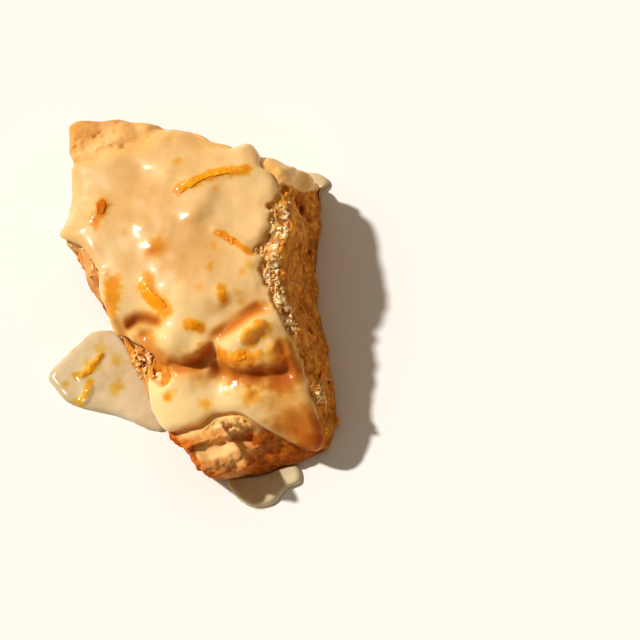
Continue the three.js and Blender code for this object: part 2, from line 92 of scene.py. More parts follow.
# Where the glaze has come away: in a strip beside the break, in bites and in a cave on the left side. Widths
# are in mm, and a bite is (photo place, radius in mm, share).
TORN_WIDTH = 2.2
NOTCHES = [
    ((259, 250), 2.2, 1.0), ((265, 271), 2.0, 1.0), ((270, 209), 1.8, 1.0), ((283, 192), 1.6, 1.0),
    ((268, 222), 2.1, 1.0), ((265, 236), 2.0, 1.0),
]
CAVE = [(124, 346), (135, 356), (148, 365), (162, 377)]
CAVE_WIDTH = 2.6

# How ragged round spots are: the share of the radius that stays full, the most that noise changes the radius,
# and that noise's size in mm and seed.
SPOT_EDGE = dict(core=0.1, ragged=0.65, size=1.4, seed=52)
HOLLOW_EDGE = dict(core=0.3, ragged=0.35, size=1.2, seed=51)

# Pores in the crust and holes in the crumb: (photo place, radius in mm, depth in mm).
PORES = [
    ((97, 137), 1.0, 0.9), ((101, 134), 0.9, 0.8), ((104, 138), 0.8, 0.7), ((121, 150), 1.1, 1.0),
    ((112, 149), 0.6, 0.6), ((117, 129), 0.7, 0.5), ((114, 137), 0.6, 0.6), ((81, 140), 0.8, 0.4),
    ((81, 147), 0.8, 0.5), ((107, 146), 0.5, 0.4), ((236, 415), 0.8, 0.9), ((246, 421), 0.8, 0.8),
]
HOLES = [
    ((303, 213), 2.4, 1.8), ((296, 203), 1.4, 1.4), ((309, 219), 1.4, 1.2), ((312, 252), 1.5, 1.2),
    ((316, 262), 1.2, 1.0), ((300, 246), 1.2, 0.8), ((304, 305), 1.6, 1.0), ((311, 330), 1.6, 1.2),
    ((131, 352), 1.6, 1.6), ((143, 366), 1.8, 1.8), ((156, 376), 1.5, 1.6), ((136, 360), 1.0, 1.2),
]

# Forms finer than the CAD solids, drawn as photo places. A fold is raised on its upper side and sunk below,
# and a crease is a valley. Their sizes are in mm, and the stain is how dark the painted shade below a fold or
# in a crease is. A swell is a round rise or dip: (photo place, reach in mm, height in mm).
FOLDS = [
    dict(path=[(154, 322), (152, 336), (156, 348), (167, 357), (181, 361), (196, 359), (208, 350),
               (216, 337)],
         height=1.3, sink=1.9, width=1.1, reach=3.4, stain=1.0),
    dict(path=[(209, 345), (217, 357), (228, 366), (240, 370), (254, 370), (268, 368), (282, 367),
               (298, 370)],
         height=1.0, sink=2.2, width=1.3, reach=3.6, stain=1.0),
    dict(path=[(122, 334), (127, 324), (135, 316), (145, 315), (155, 319), (167, 325)],
         height=0.4, sink=1.9, width=1.9, reach=3.2, stain=0.3),
]
CRUST_FOLDS = [
    dict(path=[(166, 436), (182, 441), (203, 447), (218, 445), (231, 438), (245, 430), (256, 424)],
         height=0.5, sink=0.5, width=0.8, reach=3.4, stain=0.8),
]
CREASES = [
    dict(path=[(211, 339), (230, 327), (247, 314), (258, 308), (270, 309)],
         depth=1.1, width=1.4, stain=1.2),
    dict(path=[(151, 324), (150, 336), (155, 349), (166, 360)], depth=1.0, width=0.9, stain=0.7),
    dict(path=[(124, 331), (129, 323), (138, 318), (147, 318), (155, 321), (164, 323)],
         depth=0.6, width=1.5, stain=1.4),
    dict(path=[(114, 318), (121, 330), (125, 342)], depth=0.7, width=1.2, stain=0.7),
    dict(path=[(166, 362), (181, 366), (196, 365), (207, 359)], depth=1.3, width=1.4, stain=0.9),
    dict(path=[(277, 338), (283, 352), (288, 366), (292, 378)], depth=0.4, width=1.0, stain=0.7),
    dict(path=[(288, 336), (294, 352), (300, 368)], depth=0.4, width=0.8, stain=0.7),
    dict(path=[(211, 434), (222, 431), (234, 425)], depth=0.7, width=0.7, stain=0.7),
    dict(path=[(243, 429), (252, 436), (258, 447)], depth=0.9, width=0.9, stain=0.7),
]
SWELLS = [
    ((113, 127), 5.0, 1.0), ((151, 163), 2.6, 0.55), ((167, 170), 2.2, 0.5), ((187, 178), 2.0, 0.4),
    ((200, 203), 3.0, 0.8), ((143, 226), 2.2, 0.5), ((152, 247), 1.8, 0.3), ((101, 207), 2.2, 0.6),
    ((208, 191), 2.4, 0.6), ((191, 214), 2.4, 0.6), ((139, 331), 3.2, -1.0), ((148, 333), 2.2, -1.8),
    ((168, 342), 3.4, 1.2), ((216, 365), 2.8, 1.2), ((238, 328), 4.0, 0.8), ((274, 347), 1.8, 0.9),
    ((186, 377), 5.0, 0.8),
]
CRUST_SWELLS = [
    ((194, 431), 3.4, 0.8), ((231, 420), 3.0, 1.2), ((226, 455), 3.0, 0.8), ((66, 239), 2.6, 2.0),
    ((322, 391), 2.6, 3.6),
]

# Where forms and their shade fade in and out along a path, as shares of its length.
FOLD_ENDS = ((0.0, 0.18), (0.82, 1.0))
CREASE_ENDS = ((-0.05, 0.15), (0.85, 1.05))
FOLD_SHADE_ENDS = ((0.0, 0.2), (0.8, 1.0))
CREASE_SHADE_ENDS = ((-0.05, 0.2), (0.8, 1.05))
LIP_ENDS = ((0.0, 0.12), (0.84, 1.0))

# The lip along the lower edge of the front crust, which rises to it from above. Sizes are in mm.
FRONT_LIP = [(146, 436), (166, 449), (186, 461), (202, 468), (218, 473), (238, 471), (252, 463), (262, 452)]
FRONT_LIP_HEIGHT = 10.0
FRONT_LIP_REACH = 15.0
FRONT_LIP_EDGE = 1.2

# Places drawn out or in: photo place, reach in mm, and the move in pixels, right and down. Those of the glaze
# and those of the crust move it alone.
PULLS = [
    ((68, 236), 3.0, (-14, 3)), ((77, 123), 3.0, (-5, 0)), ((50, 376), 5.0, (-4, 1)),
    ((207, 474), 3.0, (-3, 2)), ((331, 196), 2.5, (-9, -5)), ((80, 160), 6.0, (-7, 0)),
    ((78, 188), 4.0, (-2, 0)), ((122, 128), 5.0, (0, -9)), ((185, 138), 4.0, (0, -5)),
    ((90, 283), 5.0, (-5, 0)),
]
GLAZE_PULLS = [((247, 152), 3.0, (0, -8)), ((310, 436), 4.5, (9, 13)), ((272, 232), 6.0, (2, 0))]
CRUST_PULLS = [((272, 232), 6.0, (10, 0))]

# Candied peel: photo places along each strip, its widths there in mm, and how far in mm its middle stands
# above what it lies on. Some strips are a deeper orange, by a share.
PEEL = {
    "long_strip": dict(path=[(178, 190), (190, 183), (205, 176), (222, 171.5), (246, 169.5)],
                       widths=[2.3, 2.0, 1.5, 1.6, 1.1], lift=0.02),
    "thin_strip": dict(path=[(217, 232), (225, 235.5), (233, 241), (251, 253)],
                       widths=[1.2, 1.4, 1.3, 1.0], lift=-0.08),
    "bent_strip": dict(path=[(143.5, 279), (144, 287), (149, 296), (156, 302), (165, 309)],
                       widths=[1.8, 2.0, 2.8, 3.2, 2.0], lift=-0.2),
    "side_fold": dict(path=[(114, 281), (112, 292), (112, 303), (108, 312)],
                      widths=[2.2, 3.2, 2.6, 1.4], lift=-0.7),
    "red_chip": dict(path=[(101.5, 202), (101, 208), (99.5, 214)], widths=[2.0, 2.2, 1.6], lift=0.05),
    "small_chip": dict(path=[(221, 288), (222, 293), (223, 299)], widths=[1.2, 1.8, 1.4], lift=-0.15),
    "curled_chip": dict(path=[(188, 324), (194, 325), (200, 328)], widths=[1.4, 2.2, 1.7], lift=-0.1),
    "bulge_chip": dict(path=[(234, 358), (239, 356), (246, 355)], widths=[1.2, 2.2, 1.6], lift=0.0),
}
POOL_PEEL = {
    "pool_long_strip": dict(path=[(101, 357), (93, 366), (86, 373), (77, 376)],
                            widths=[0.8, 1.7, 1.3, 1.0], lift=-0.15),
    "pool_short_strip": dict(path=[(90, 382), (86, 393), (81, 405)], widths=[0.9, 1.2, 1.6], lift=-0.2),
}
BREAK_PEEL = {
    "break_chunk": dict(path=[(319, 375), (327, 378), (337, 383)], widths=[2.6, 3.4, 2.4], lift=0.5),
}
DEEP_ORANGE = {"red_chip": 0.55, "bulge_chip": 0.2, "break_chunk": 0.6, "thin_strip": 0.15}
GLAZE_PEEL_CRINKLE = 0.8 * MM
POOL_PEEL_CRINKLE = 1.1 * MM
BREAK_PEEL_CRINKLE = 0.6 * MM

# Colour in and under the glaze: (photo place, radius in mm, share of the tint). Peel lumps also raise it.
PEEL_LUMPS = [
    ((262, 328), 3.6, 1.0), ((250, 337), 3.6, 1.0), ((222, 356), 3.0, 1.0), ((233, 361), 3.2, 1.0),
    ((245, 359), 3.6, 1.0), ((256, 356), 2.6, 0.8), ((281, 356), 3.2, 0.7),
]
ORANGE_SPOTS = [
    ((167, 397), 1.9, 0.55), ((206, 405), 2.2, 0.5), ((95, 222), 2.6, 0.8), ((113, 293), 3.4, 0.5),
    ((146, 290), 2.4, 0.5), ((250, 264), 1.8, 0.25), ((242, 272), 1.6, 0.25), ((213, 245), 1.8, 0.3),
    ((177, 161), 1.8, 0.3), ((251, 397), 3.6, 0.5), ((297, 432), 1.4, 0.6), ((222, 293), 2.2, 0.5),
    ((194, 325), 2.6, 0.5), ((155, 247), 4.2, 0.6), ((280, 352), 5.0, 0.5), ((99, 212), 3.0, 0.5),
    ((163, 306), 2.4, 0.5), ((210, 266), 1.5, 0.4),
]
POOL_SPOTS = [
    ((72, 350), 1.4, 0.8), ((65, 384), 1.5, 0.5), ((116, 361), 2.4, 0.35), ((117, 387), 2.8, 0.5),
    ((100, 349), 3.0, 0.3), ((90, 366), 3.4, 0.5), ((77, 401), 2.2, 0.5),
]
# Painted shade: two broad patches that darken the upper part of the glaze, which the key light reaches more.
PAINTED_SHADE_SPOTS = [((140, 190), 17.0, 0.12), ((180, 250), 14.0, 0.24)]
# Brown stains, and painted shade under the toe and the bulge, in the hollow on the left and on the drip.
BROWN_AND_SHADE_SPOTS = [
    ((102, 206), 2.4, 0.8), ((151, 250), 1.7, 0.15), ((167, 397), 1.6, 0.2), ((236, 373), 5.0, 1.1),
    ((256, 374), 5.5, 1.2), ((300, 425), 9.0, 0.85), ((276, 372), 4.5, 0.8), ((312, 440), 6.0, 1.15),
    ((318, 424), 5.0, 0.8), ((285, 395), 8.0, 0.35), ((288, 362), 6.0, 0.4), ((140, 334), 5.0, 0.35),
    ((121, 336), 3.0, 0.4), ((192, 362), 5.0, 0.9), ((205, 353), 4.0, 0.8), ((176, 364), 3.4, 0.7),
    ((262, 308), 3.0, 0.5), ((281, 378), 7.0, 1.15), ((293, 370), 6.5, 1.0), ((298, 352), 4.0, 0.6),
    ((304, 447), 5.0, 1.1),
]

# Unevenness in layers of noise: (height in mm, size of a lump in mm, seed).
GLAZE_RIPPLES = [(0.42, 9.0, 21), (0.2, 4.2, 22), (0.05, 1.8, 23)]
PEEL_LUMPINESS = [(0.24, 1.9, 43), (0.16, 1.0, 44)]
TORN_RAGGEDNESS = [(0.7, 3.2, 25), (0.3, 1.1, 26)]
POOL_RIPPLES = [(0.18, 5.0, 31), (0.12, 2.6, 32)]
CLUMP_ROUGHNESS = [(0.22, 0.45, 53), (0.2, 1.0, 54)]

# Scattered crumbs, in metres and points per square metre: along the break's upper edge and on the left side.
STRIP_CRUMBS = dict(Spacing=0.42 * MM, Density=3.0e6, Smallest=0.3 * MM, Largest=1.1 * MM, Seed=3)
SIDE_CRUMBS = dict(Spacing=0.9 * MM, Density=6.0e5, Smallest=0.5 * MM, Largest=1.6 * MM, Seed=5)
ANY_TURN = (6.28, 6.28, 6.28)

# How finely the pieces are meshed.
JOIN_ANGLE = math.radians(50)
SCONE_LEVELS = 2
GLAZE_VOXEL = 0.36 * MM
CRUMB_VOXEL = 0.17 * MM
POOL_VOXEL = 0.36 * MM
PEEL_STEP = 0.45 * MM

# Noise of the materials: scale, detail and roughness.
SURFACE_NOISES = {"Tone": (140.0, 3.0, 0.55), "Speckle": (620.0, 2.0, 0.6), "Grain": (2400.0, 2.0, 0.6)}

# The light and the floor.
SUN_FROM = (-0.57, 0.27, 0.775)
SUN_STRENGTH = 2.95
SUN_WIDTH_DEG = 4.0
SUN_COLOUR = (1.0, 0.97, 0.92)
FILL_STRENGTH = 0.27
FILL_COLOUR = (1.0, 0.88, 0.68, 1.0)
FLOOR_HALF_SIZE = 1.5
FLOOR_COLOUR = (0.86, 0.86, 0.86, 1.0)


def camera_axes():
    """The picture's right and up directions, and the direction back to the eye."""
    level = math.cos(CAMERA_ELEVATION)
    back = Vector((math.sin(CAMERA_AZIMUTH) * level, -math.cos(CAMERA_AZIMUTH) * level,
                   math.sin(CAMERA_ELEVATION)))
    right = Vector((0, 1, 0)).cross(back).normalized()
    return right, back.cross(right), back


def seen_at(place, tree):
    """The surface's point and normal at a photo place, or the closest ones if the place misses it."""
    right, up, back = camera_axes()
    eye = PICTURE_CENTRE + back * CAMERA_DISTANCE
    across = (place[0] - PHOTO_SIZE / 2) / PIXELS_PER_METRE
    above = (PHOTO_SIZE / 2 - place[1]) / PIXELS_PER_METRE
    target = PICTURE_CENTRE + right * across + up * above
    point, normal, _, _ = tree.ray_cast(eye, (target - eye).normalized())
    if point is None:
        point, normal, _, _ = tree.find_nearest(target)
    return point, normal


def photo_places(points):
    """The photo places at which points are seen."""
    right, up, back = camera_axes()
    apart = points - np.array(PICTURE_CENTRE + back * CAMERA_DISTANCE)
    scale = CAMERA_DISTANCE * PIXELS_PER_METRE / -(apart @ np.array(back))
    across = PHOTO_SIZE / 2 + (apart @ np.array(right)) * scale
    down = PHOTO_SIZE / 2 - (apart @ np.array(up)) * scale
    return np.stack([across, down], axis=1)


def smoothstep(low, high, values):
    """0 up to the low value, 1 from the high one on, and smooth between."""
    share = np.clip((values - low) / (high - low), 0.0, 1.0)
    return share * share * (3.0 - 2.0 * share)


def between(values, rise, fall):
    """1 between a rise and a fall, each given as (from, to), and 0 outside them."""
    return smoothstep(*rise, values) * (1.0 - smoothstep(*fall, values))


def path_offset(places, path):
    """How far photo places lie from a path and how far along it.

    The first is in mm, positive above the path, and the second goes from 0 to 1.
    """
    best = np.full(len(places), np.inf)
    side = np.ones(len(places))
    along = np.zeros(len(places))
    stops = np.array(path, dtype=float)
    lengths = np.linalg.norm(stops[1:] - stops[:-1], axis=1)
    walked = 0.0
    for start, end, length in zip(stops, stops[1:], lengths):
        line = (end - start) / length
        apart = places - start
        share = np.clip(apart @ line, 0.0, length)
        rest = apart - share[:, None] * line
        far = np.linalg.norm(rest, axis=1)
        closer = far < best
        above = np.where(line[0] * apart[:, 1] - line[1] * apart[:, 0] <= 0, 1.0, -1.0)
        best = np.where(closer, far, best)
        side = np.where(closer, above, side)
        along = np.where(closer, (walked + share) / lengths.sum(), along)
        walked += length
    return side * best / (PIXELS_PER_METRE * MM), along


def reach_share(places, place, reach):
    """1 at a photo place, falling off over a reach in mm."""
    apart = np.linalg.norm(places - np.array(place), axis=1) / (reach * PIXELS_PER_METRE * MM)
    return np.exp(-apart ** 2)


def swell_height(places, swells):
    """Height in mm that swells add at each photo place."""
    height = np.zeros(len(places))
    for place, reach, rise in swells:
        height += rise * reach_share(places, place, reach)
    return height


def fold_height(places, folds):
    """Height in mm of folds, each raised above its path and sunk below it."""
    raised = np.zeros(len(places))
    sunk = np.zeros(len(places))
    for fold in folds:
        offset, along = path_offset(places, fold["path"])
        fade = between(along, *FOLD_ENDS)
        step = fade * np.exp(-(offset / fold["reach"]) ** 2) * np.tanh(offset / fold["width"])
        raised = np.maximum(raised, step * fold["height"])
        sunk = np.minimum(sunk, step * fold["sink"])
    return raised + sunk


def form_height(points):
    """Height towards the eye, in mm, that the folds, creases and swells add at each point."""
    places = photo_places(points)
    height = fold_height(places, FOLDS)
    for crease in CREASES:
        offset, along = path_offset(places, crease["path"])
        fade = between(along, *CREASE_ENDS)
        height -= fade * crease["depth"] * np.exp(-(offset / crease["width"]) ** 2)
    return height + swell_height(places, SWELLS)


def lip_height(places):
    """Height in mm of the front crust, which rises evenly to a lip along its lower edge."""
    offset, along = path_offset(places, FRONT_LIP)
    slope = np.clip(1.0 - offset / FRONT_LIP_REACH, 0.0, 1.0)
    edge = np.exp(-(np.minimum(offset, 0.0) / FRONT_LIP_EDGE) ** 2)
    fade = between(along, *LIP_ENDS)
    return FRONT_LIP_HEIGHT * fade * slope * edge


def fold_shade(points):
    """How deep in the shade of a fold or crease a point lies, 0 outside and about 1 in it."""
    places = photo_places(points)
    shade = np.zeros(len(points))
    for fold in FOLDS + CRUST_FOLDS:
        offset, along = path_offset(places, fold["path"])
        fade = between(along, *FOLD_SHADE_ENDS)
        shade = np.maximum(shade, fade * np.exp(-((offset + 1.6) / 2.2) ** 2) * fold["stain"])
    for crease in CREASES:
        offset, along = path_offset(places, crease["path"])
        fade = between(along, *CREASE_SHADE_ENDS)
        shade = np.maximum(shade, fade * crease["stain"] * np.exp(-(offset / crease["width"]) ** 2))
    return shade


def pulled(points, pulls):
    """The points, with some places drawn out or in across the picture."""
    right, up, _ = camera_axes()
    places = photo_places(points)
    moved = points.copy()
    for place, reach, (across, down) in pulls:
        shift = (np.array(right) * across - np.array(up) * down) / PIXELS_PER_METRE
        level = np.array([shift[0], shift[1], 0.0])
        moved += reach_share(places, place, reach)[:, None] * level
    return moved


def cave_share(points):
    """1 in the open cave on the left side, which the glaze leaves bare, and 0 elsewhere."""
    offset, _ = path_offset(photo_places(points), CAVE)
    ragged = 0.7 * noise_at(points, 2.0 * MM, 27)
    return 1.0 - smoothstep(CAVE_WIDTH - 0.5, CAVE_WIDTH, np.abs(offset) + ragged)


def soft_edge_share(points):
    """1 at the back, where the glaze thins out into the crust, and 0 where its edge is crisp."""
    return 1.0 - smoothstep(*SOFT_EDGE_ROWS, photo_places(points)[:, 1])


def welded(node):
    """A CAD node's faces in a bmesh, with its loose triangles joined up."""
    faces = bmesh.new()
    faces.from_mesh(node.data)
    faces.transform(node.matrix_world)
    bmesh.ops.remove_doubles(faces, verts=faces.verts, dist=WELD)
    return faces


def object_from(faces, name):
    mesh = bpy.data.meshes.new(name)
    faces.to_mesh(mesh)
    faces.free()
    return object_with(mesh, name)


def object_with(mesh, name):
    piece = bpy.data.objects.new(name, mesh)
    bpy.context.scene.collection.objects.link(piece)
    return piece


def settle(piece):
    """Turns a piece with modifiers into the plain mesh they make."""
    depsgraph = bpy.context.evaluated_depsgraph_get()
    made = bpy.data.meshes.new_from_object(piece.evaluated_get(depsgraph), preserve_all_data_layers=True,
                                           depsgraph=depsgraph)
    before = piece.data
    piece.modifiers.clear()
    piece.data = made
    bpy.data.meshes.remove(before)
    made.name = piece.name


def modify(piece, kind, **settings):
    modifier = piece.modifiers.new(kind.lower(), kind)
    for key, value in settings.items():
        setattr(modifier, key, value)
    settle(piece)


def points_of(mesh):
    values = np.empty(len(mesh.vertices) * 3)
    mesh.vertices.foreach_get("co", values)
    return values.reshape(-1, 3)


def normals_of(mesh):
    values = np.empty(len(mesh.vertices) * 3)
    mesh.vertex_normals.foreach_get("vector", values)
    return values.reshape(-1, 3)


def move_points(mesh, points):
    mesh.vertices.foreach_set("co", points.ravel())
    mesh.update()


def smooth_skin(piece, levels):
    """Subdivides a piece smoothly, with its surface still through the CAD's own points."""
    wanted = points_of(piece.data)
    guide = wanted.copy()
    for _ in range(4):
        move_points(piece.data, guide)
        trial = piece.copy()
        trial.data = piece.data.copy()
        bpy.context.scene.collection.objects.link(trial)
        modify(trial, "SUBSURF", levels=levels, render_levels=levels)
        guide += wanted - points_of(trial.data)[:len(wanted)]
        made = trial.data
        bpy.data.objects.remove(trial)
        bpy.data.meshes.remove(made)
    move_points(piece.data, guide)
    modify(piece, "SUBSURF", levels=levels, render_levels=levels)


def refine(piece, chosen):
    """Splits the faces around the chosen points once more."""
    faces = bmesh.new()
    faces.from_mesh(piece.data)
    faces.verts.ensure_lookup_table()
    edges = [edge for edge in faces.edges if chosen[edge.verts[0].index] and chosen[edge.verts[1].index]]
    bmesh.ops.subdivide_edges(faces, edges=edges, cuts=1, use_grid_fill=True)
    faces.to_mesh(piece.data)
    faces.free()


def store(mesh, name, values):
    """Keeps one number per point under a name."""
    layer = mesh.attributes.get(name) or mesh.attributes.new(name, "FLOAT", "POINT")
    layer.data.foreach_set("value", np.asarray(values, dtype=np.float32))


def read(mesh, name):
    """The numbers kept per point under a name."""
    values = np.empty(len(mesh.vertices))
    mesh.attributes[name].data.foreach_get("value", values)
    return values


def neighbour_mean(mesh, values, rounds):
    """Averages a value per point with its neighbours along the edges."""
    edges = np.empty(len(mesh.edges) * 2, dtype=np.int64)
    mesh.edges.foreach_get("vertices", edges)
    edges = edges.reshape(-1, 2)
    counts = np.bincount(edges.ravel(), minlength=len(values)).clip(1)
    mean = np.array(values, dtype=float)
    columns = mean.reshape(len(values), -1)
    for _ in range(rounds):
        total = np.zeros_like(columns)
        for column in range(columns.shape[1]):
            total[:, column] += np.bincount(edges[:, 0], columns[edges[:, 1], column], len(values))
            total[:, column] += np.bincount(edges[:, 1], columns[edges[:, 0], column], len(values))
        columns = 0.5 * columns + 0.5 * total / counts[:, None]
    return columns.reshape(mean.shape)


def noise_at(points, size, seed):
    """Smooth noise from about -1 to 1, with lumps of a given size."""
    shift = Vector((seed * 3.7, seed * 5.3, seed * 7.1))
    return np.array([noise.noise(Vector(point) / size + shift) for point in points])


def layered_noise(points, layers, base=0.0):
    """A base with layers of noise added, each (height, size in mm, seed)."""
    total = base
    for height, size, seed in layers:
        total = total + height * noise_at(points, size * MM, seed)
    return total


def lumps_at(points, size, seed, sharpness):
    """Rounded lumps from 0 in the grooves to 1 on top, each about a given size."""
    shift = Vector((seed * 2.9, seed * 4.1, seed * 6.7))
    values = np.empty(len(points))
    for index, point in enumerate(points):
        near = noise.voronoi(Vector(point) / size + shift)[0]
        values[index] = min(1.0, (near[1] - near[0]) * sharpness)
    return values


def distances(points, tree):
    """How far points lie from a surface."""
    return np.array([tree.find_nearest(Vector(point))[3] for point in points])


def nearest_distance(points, others):
    """How far points lie from the nearest of some others."""
    kd = KDTree(len(others))
    for index, other in enumerate(others):
        kd.insert(other, index)
    kd.balance()
    return np.array([kd.find(point)[2] for point in points])


def surface_tree(piece):
    mesh = piece.data
    corners = [vertex.co for vertex in mesh.vertices]
    return BVHTree.FromPolygons(corners, [polygon.vertices for polygon in mesh.polygons])


def spot_field(points, spots, tree, edge=SPOT_EDGE):
    """The strongest of several spots at each point, the small ones more ragged.

    A spot is (photo place, radius in mm, share or depth).
    """
    uneven = noise_at(points, edge["size"] * MM, edge["seed"])
    field = np.zeros(len(points))
    for place, radius, share in spots:
        centre = np.array(seen_at(place, tree)[0])
        ragged = 1.0 + min(edge["ragged"], 1.8 / radius) * uneven
        far = np.linalg.norm(points - centre, axis=1) / (radius * MM * ragged)
        field = np.maximum(field, share * (1.0 - smoothstep(edge["core"], 1.0, far)))
    return field


def fleck_field(points, size, seed):
    """Small ragged flecks of zest in some of the cells of a random pattern, from 0 to 1."""
    shift = Vector((seed * 2.3, seed * 3.9, seed * 5.7))
    ragged = 1.0 + 0.5 * noise_at(points, 0.9 * MM, seed + 1)
    values = np.zeros(len(points))
    for index, point in enumerate(points):
        near, places = noise.voronoi(Vector(point) / size + shift)
        chance = 0.5 + 0.5 * noise.cell(places[0] * 97.0)
        if chance > 0.5:
            radius = 0.1 + 0.16 * chance
            values[index] = max(0.0, 1.0 - near[0] / (radius * ragged[index]))
    return np.sqrt(values)


class Nodes:
    """Adds nodes to a tree, with their inputs set or joined as they are made."""

    def __init__(self, tree):
        self.tree = tree

    def add(self, kind, inputs=None, **settings):
        made = self.tree.nodes.new(kind)
        for key, value in settings.items():
            setattr(made, key, value)
        for key, value in (inputs or {}).items():
            if isinstance(value, bpy.types.NodeSocket):
                self.tree.links.new(value, made.inputs[key])
            else:
                made.inputs[key].default_value = value
        return made

    def attribute(self, name):
        return self.add("ShaderNodeAttribute", attribute_name=name).outputs["Fac"]

    def mixed(self, factor, first, second):
        made = self.add("ShaderNodeMix", {0: factor, 6: first, 7: second}, data_type="RGBA")
        return made.outputs[2]

    def stained_and_shaded(self, share, first, stain):
        """A colour seen through a stain, which is as deep as its share; used for real stains and for painted
        shade.
        """
        depth = self.add("ShaderNodeGamma", {"Color": stain, "Gamma": share})
        made = self.add("ShaderNodeMix", {0: 1.0, 6: first, 7: depth.outputs["Color"]}, data_type="RGBA",
                        blend_type="MULTIPLY")
        return made.outputs[2]


def colour(red, green, blue):
    """A linear colour from the 0 to 255 values of a picture."""
    linear = []
    for value in (red, green, blue):
        share = value / 255
        linear.append(share / 12.92 if share <= 0.04045 else ((share + 0.055) / 1.055) ** 2.4)
    return (*linear, 1.0)


def add_sockets(tree, in_out, kinds):
    """Gives a tree its named inputs or outputs."""
    for name, kind in kinds.items():
        tree.interface.new_socket(name, in_out=in_out, socket_type="NodeSocket" + kind)


def surface_group():
    """Patchy tone, speckle and fine grain on object coordinates, shared by all the materials."""
    tree = bpy.data.node_groups.new("surface_variation", "ShaderNodeTree")
    add_sockets(tree, "OUTPUT", {name: "Float" for name in SURFACE_NOISES})
    nodes = Nodes(tree)
    place = nodes.add("ShaderNodeTexCoord").outputs["Object"]
    end = nodes.add("NodeGroupOutput")
    for name, (scale, detail, roughness) in SURFACE_NOISES.items():
        pattern = nodes.add("ShaderNodeTexNoise", {"Vector": place, "Scale": scale, "Detail": detail,
                                                   "Roughness": roughness})
        tree.links.new(pattern.outputs["Fac"], end.inputs[name])
    return tree


def new_material(name):
    """An empty material, its nodes and the shared surface pattern in it."""
    material = bpy.data.materials.new(name)
    material.use_nodes = True
    material.node_tree.nodes.clear()
    nodes = Nodes(material.node_tree)
    surface = nodes.add("ShaderNodeGroup", node_tree=SURFACE)
    return material, nodes, surface


def finish_material(nodes, inputs):
    """Ends a material with one shader."""
    shader = nodes.add("ShaderNodeBsdfPrincipled", inputs)
    nodes.add("ShaderNodeOutputMaterial", {"Surface": shader.outputs["BSDF"]})


def ramp(nodes, factor, stops):
    made = nodes.add("ShaderNodeValToRGB", {"Fac": factor})
    elements = made.color_ramp.elements
    while len(elements) < len(stops):
        elements.new(0.5)
    for element, (position, value) in zip(elements, stops):
        element.position = position
        element.color = value
    return made.outputs["Color"]


def bumped(nodes, height, strength, distance, below=None):
    """A normal with a height pressed into it, in mm, over another normal if there is one."""
    inputs = {"Height": height, "Strength": strength, "Distance": distance * MM}
    if below is not None:
        inputs["Normal"] = below
    return nodes.add("ShaderNodeBump", inputs).outputs["Normal"]


def scaled(nodes, value, factor, base):
    """A value times a factor, added to a base."""
    made = nodes.add("ShaderNodeMath", {0: value, 1: factor, 2: base}, operation="MULTIPLY_ADD")
    return made.outputs["Value"]


def crust_material():
    """Golden crust that browns, with painted shade in the front's folds and creases and at its right end,
    glossier under a film of glaze and paler on the back shelf as painted light, with crumb at the break
    painted deep brown as shade, pale along its upper edge, and painted shade between its lumps and in holes
    and pores.
    """
    material, nodes, surface = new_material("scone_crust")
    tone = surface.outputs["Tone"]
    speckle = surface.outputs["Speckle"]
    golden = ramp(nodes, tone, [(0.30, colour(244, 182, 96)), (0.50, colour(253, 208, 134)),
                                (0.70, colour(255, 224, 164))])
    # Brown from baking, and painted shade in the front's folds and creases and at its right end.
    browned_and_shaded = ramp(nodes, speckle, [(0.35, colour(164, 80, 10)), (0.65, colour(206, 120, 26))])
    crust = nodes.mixed(nodes.attribute("browning_and_shade"), golden, browned_and_shaded)
    glazed_and_lit = nodes.attribute("glazed_and_lit")
    # Crust under a film of glaze, and painted light on the back shelf, in a paler colour.
    crust = nodes.mixed(glazed_and_lit, crust, colour(249, 196, 122))
    # Painted shade: the broken side's crumb in a deep golden brown; the pale crumb is its lit tone.
    shaded_crumb = ramp(nodes, speckle, [(0.34, colour(226, 132, 26)), (0.66, colour(248, 178, 62))])
    pale_crumb = ramp(nodes, speckle, [(0.34, colour(206, 136, 58)), (0.62, colour(240, 200, 130))])
    crumb = nodes.mixed(nodes.attribute("pale"), shaded_crumb, pale_crumb)
    shown = nodes.mixed(nodes.attribute("crumb"), crust, crumb)
    # Painted shade between lumps of crumb and in holes and pores.
    shown = nodes.mixed(nodes.attribute("groove"), shown, colour(122, 56, 8))
    lumpy = bumped(nodes, speckle, 0.4, 0.6)
    finish_material(nodes, {
        "Base Color": shown, "Roughness": scaled(nodes, glazed_and_lit, -0.4, 0.72),
        "Normal": bumped(nodes, surface.outputs["Grain"], 0.6, 0.2, lumpy), "Specular IOR Level": 0.3,
        "Subsurface Weight": 0.25, "Subsurface Radius": (1.0, 0.5, 0.2), "Subsurface Scale": 0.6 * MM})
    return material


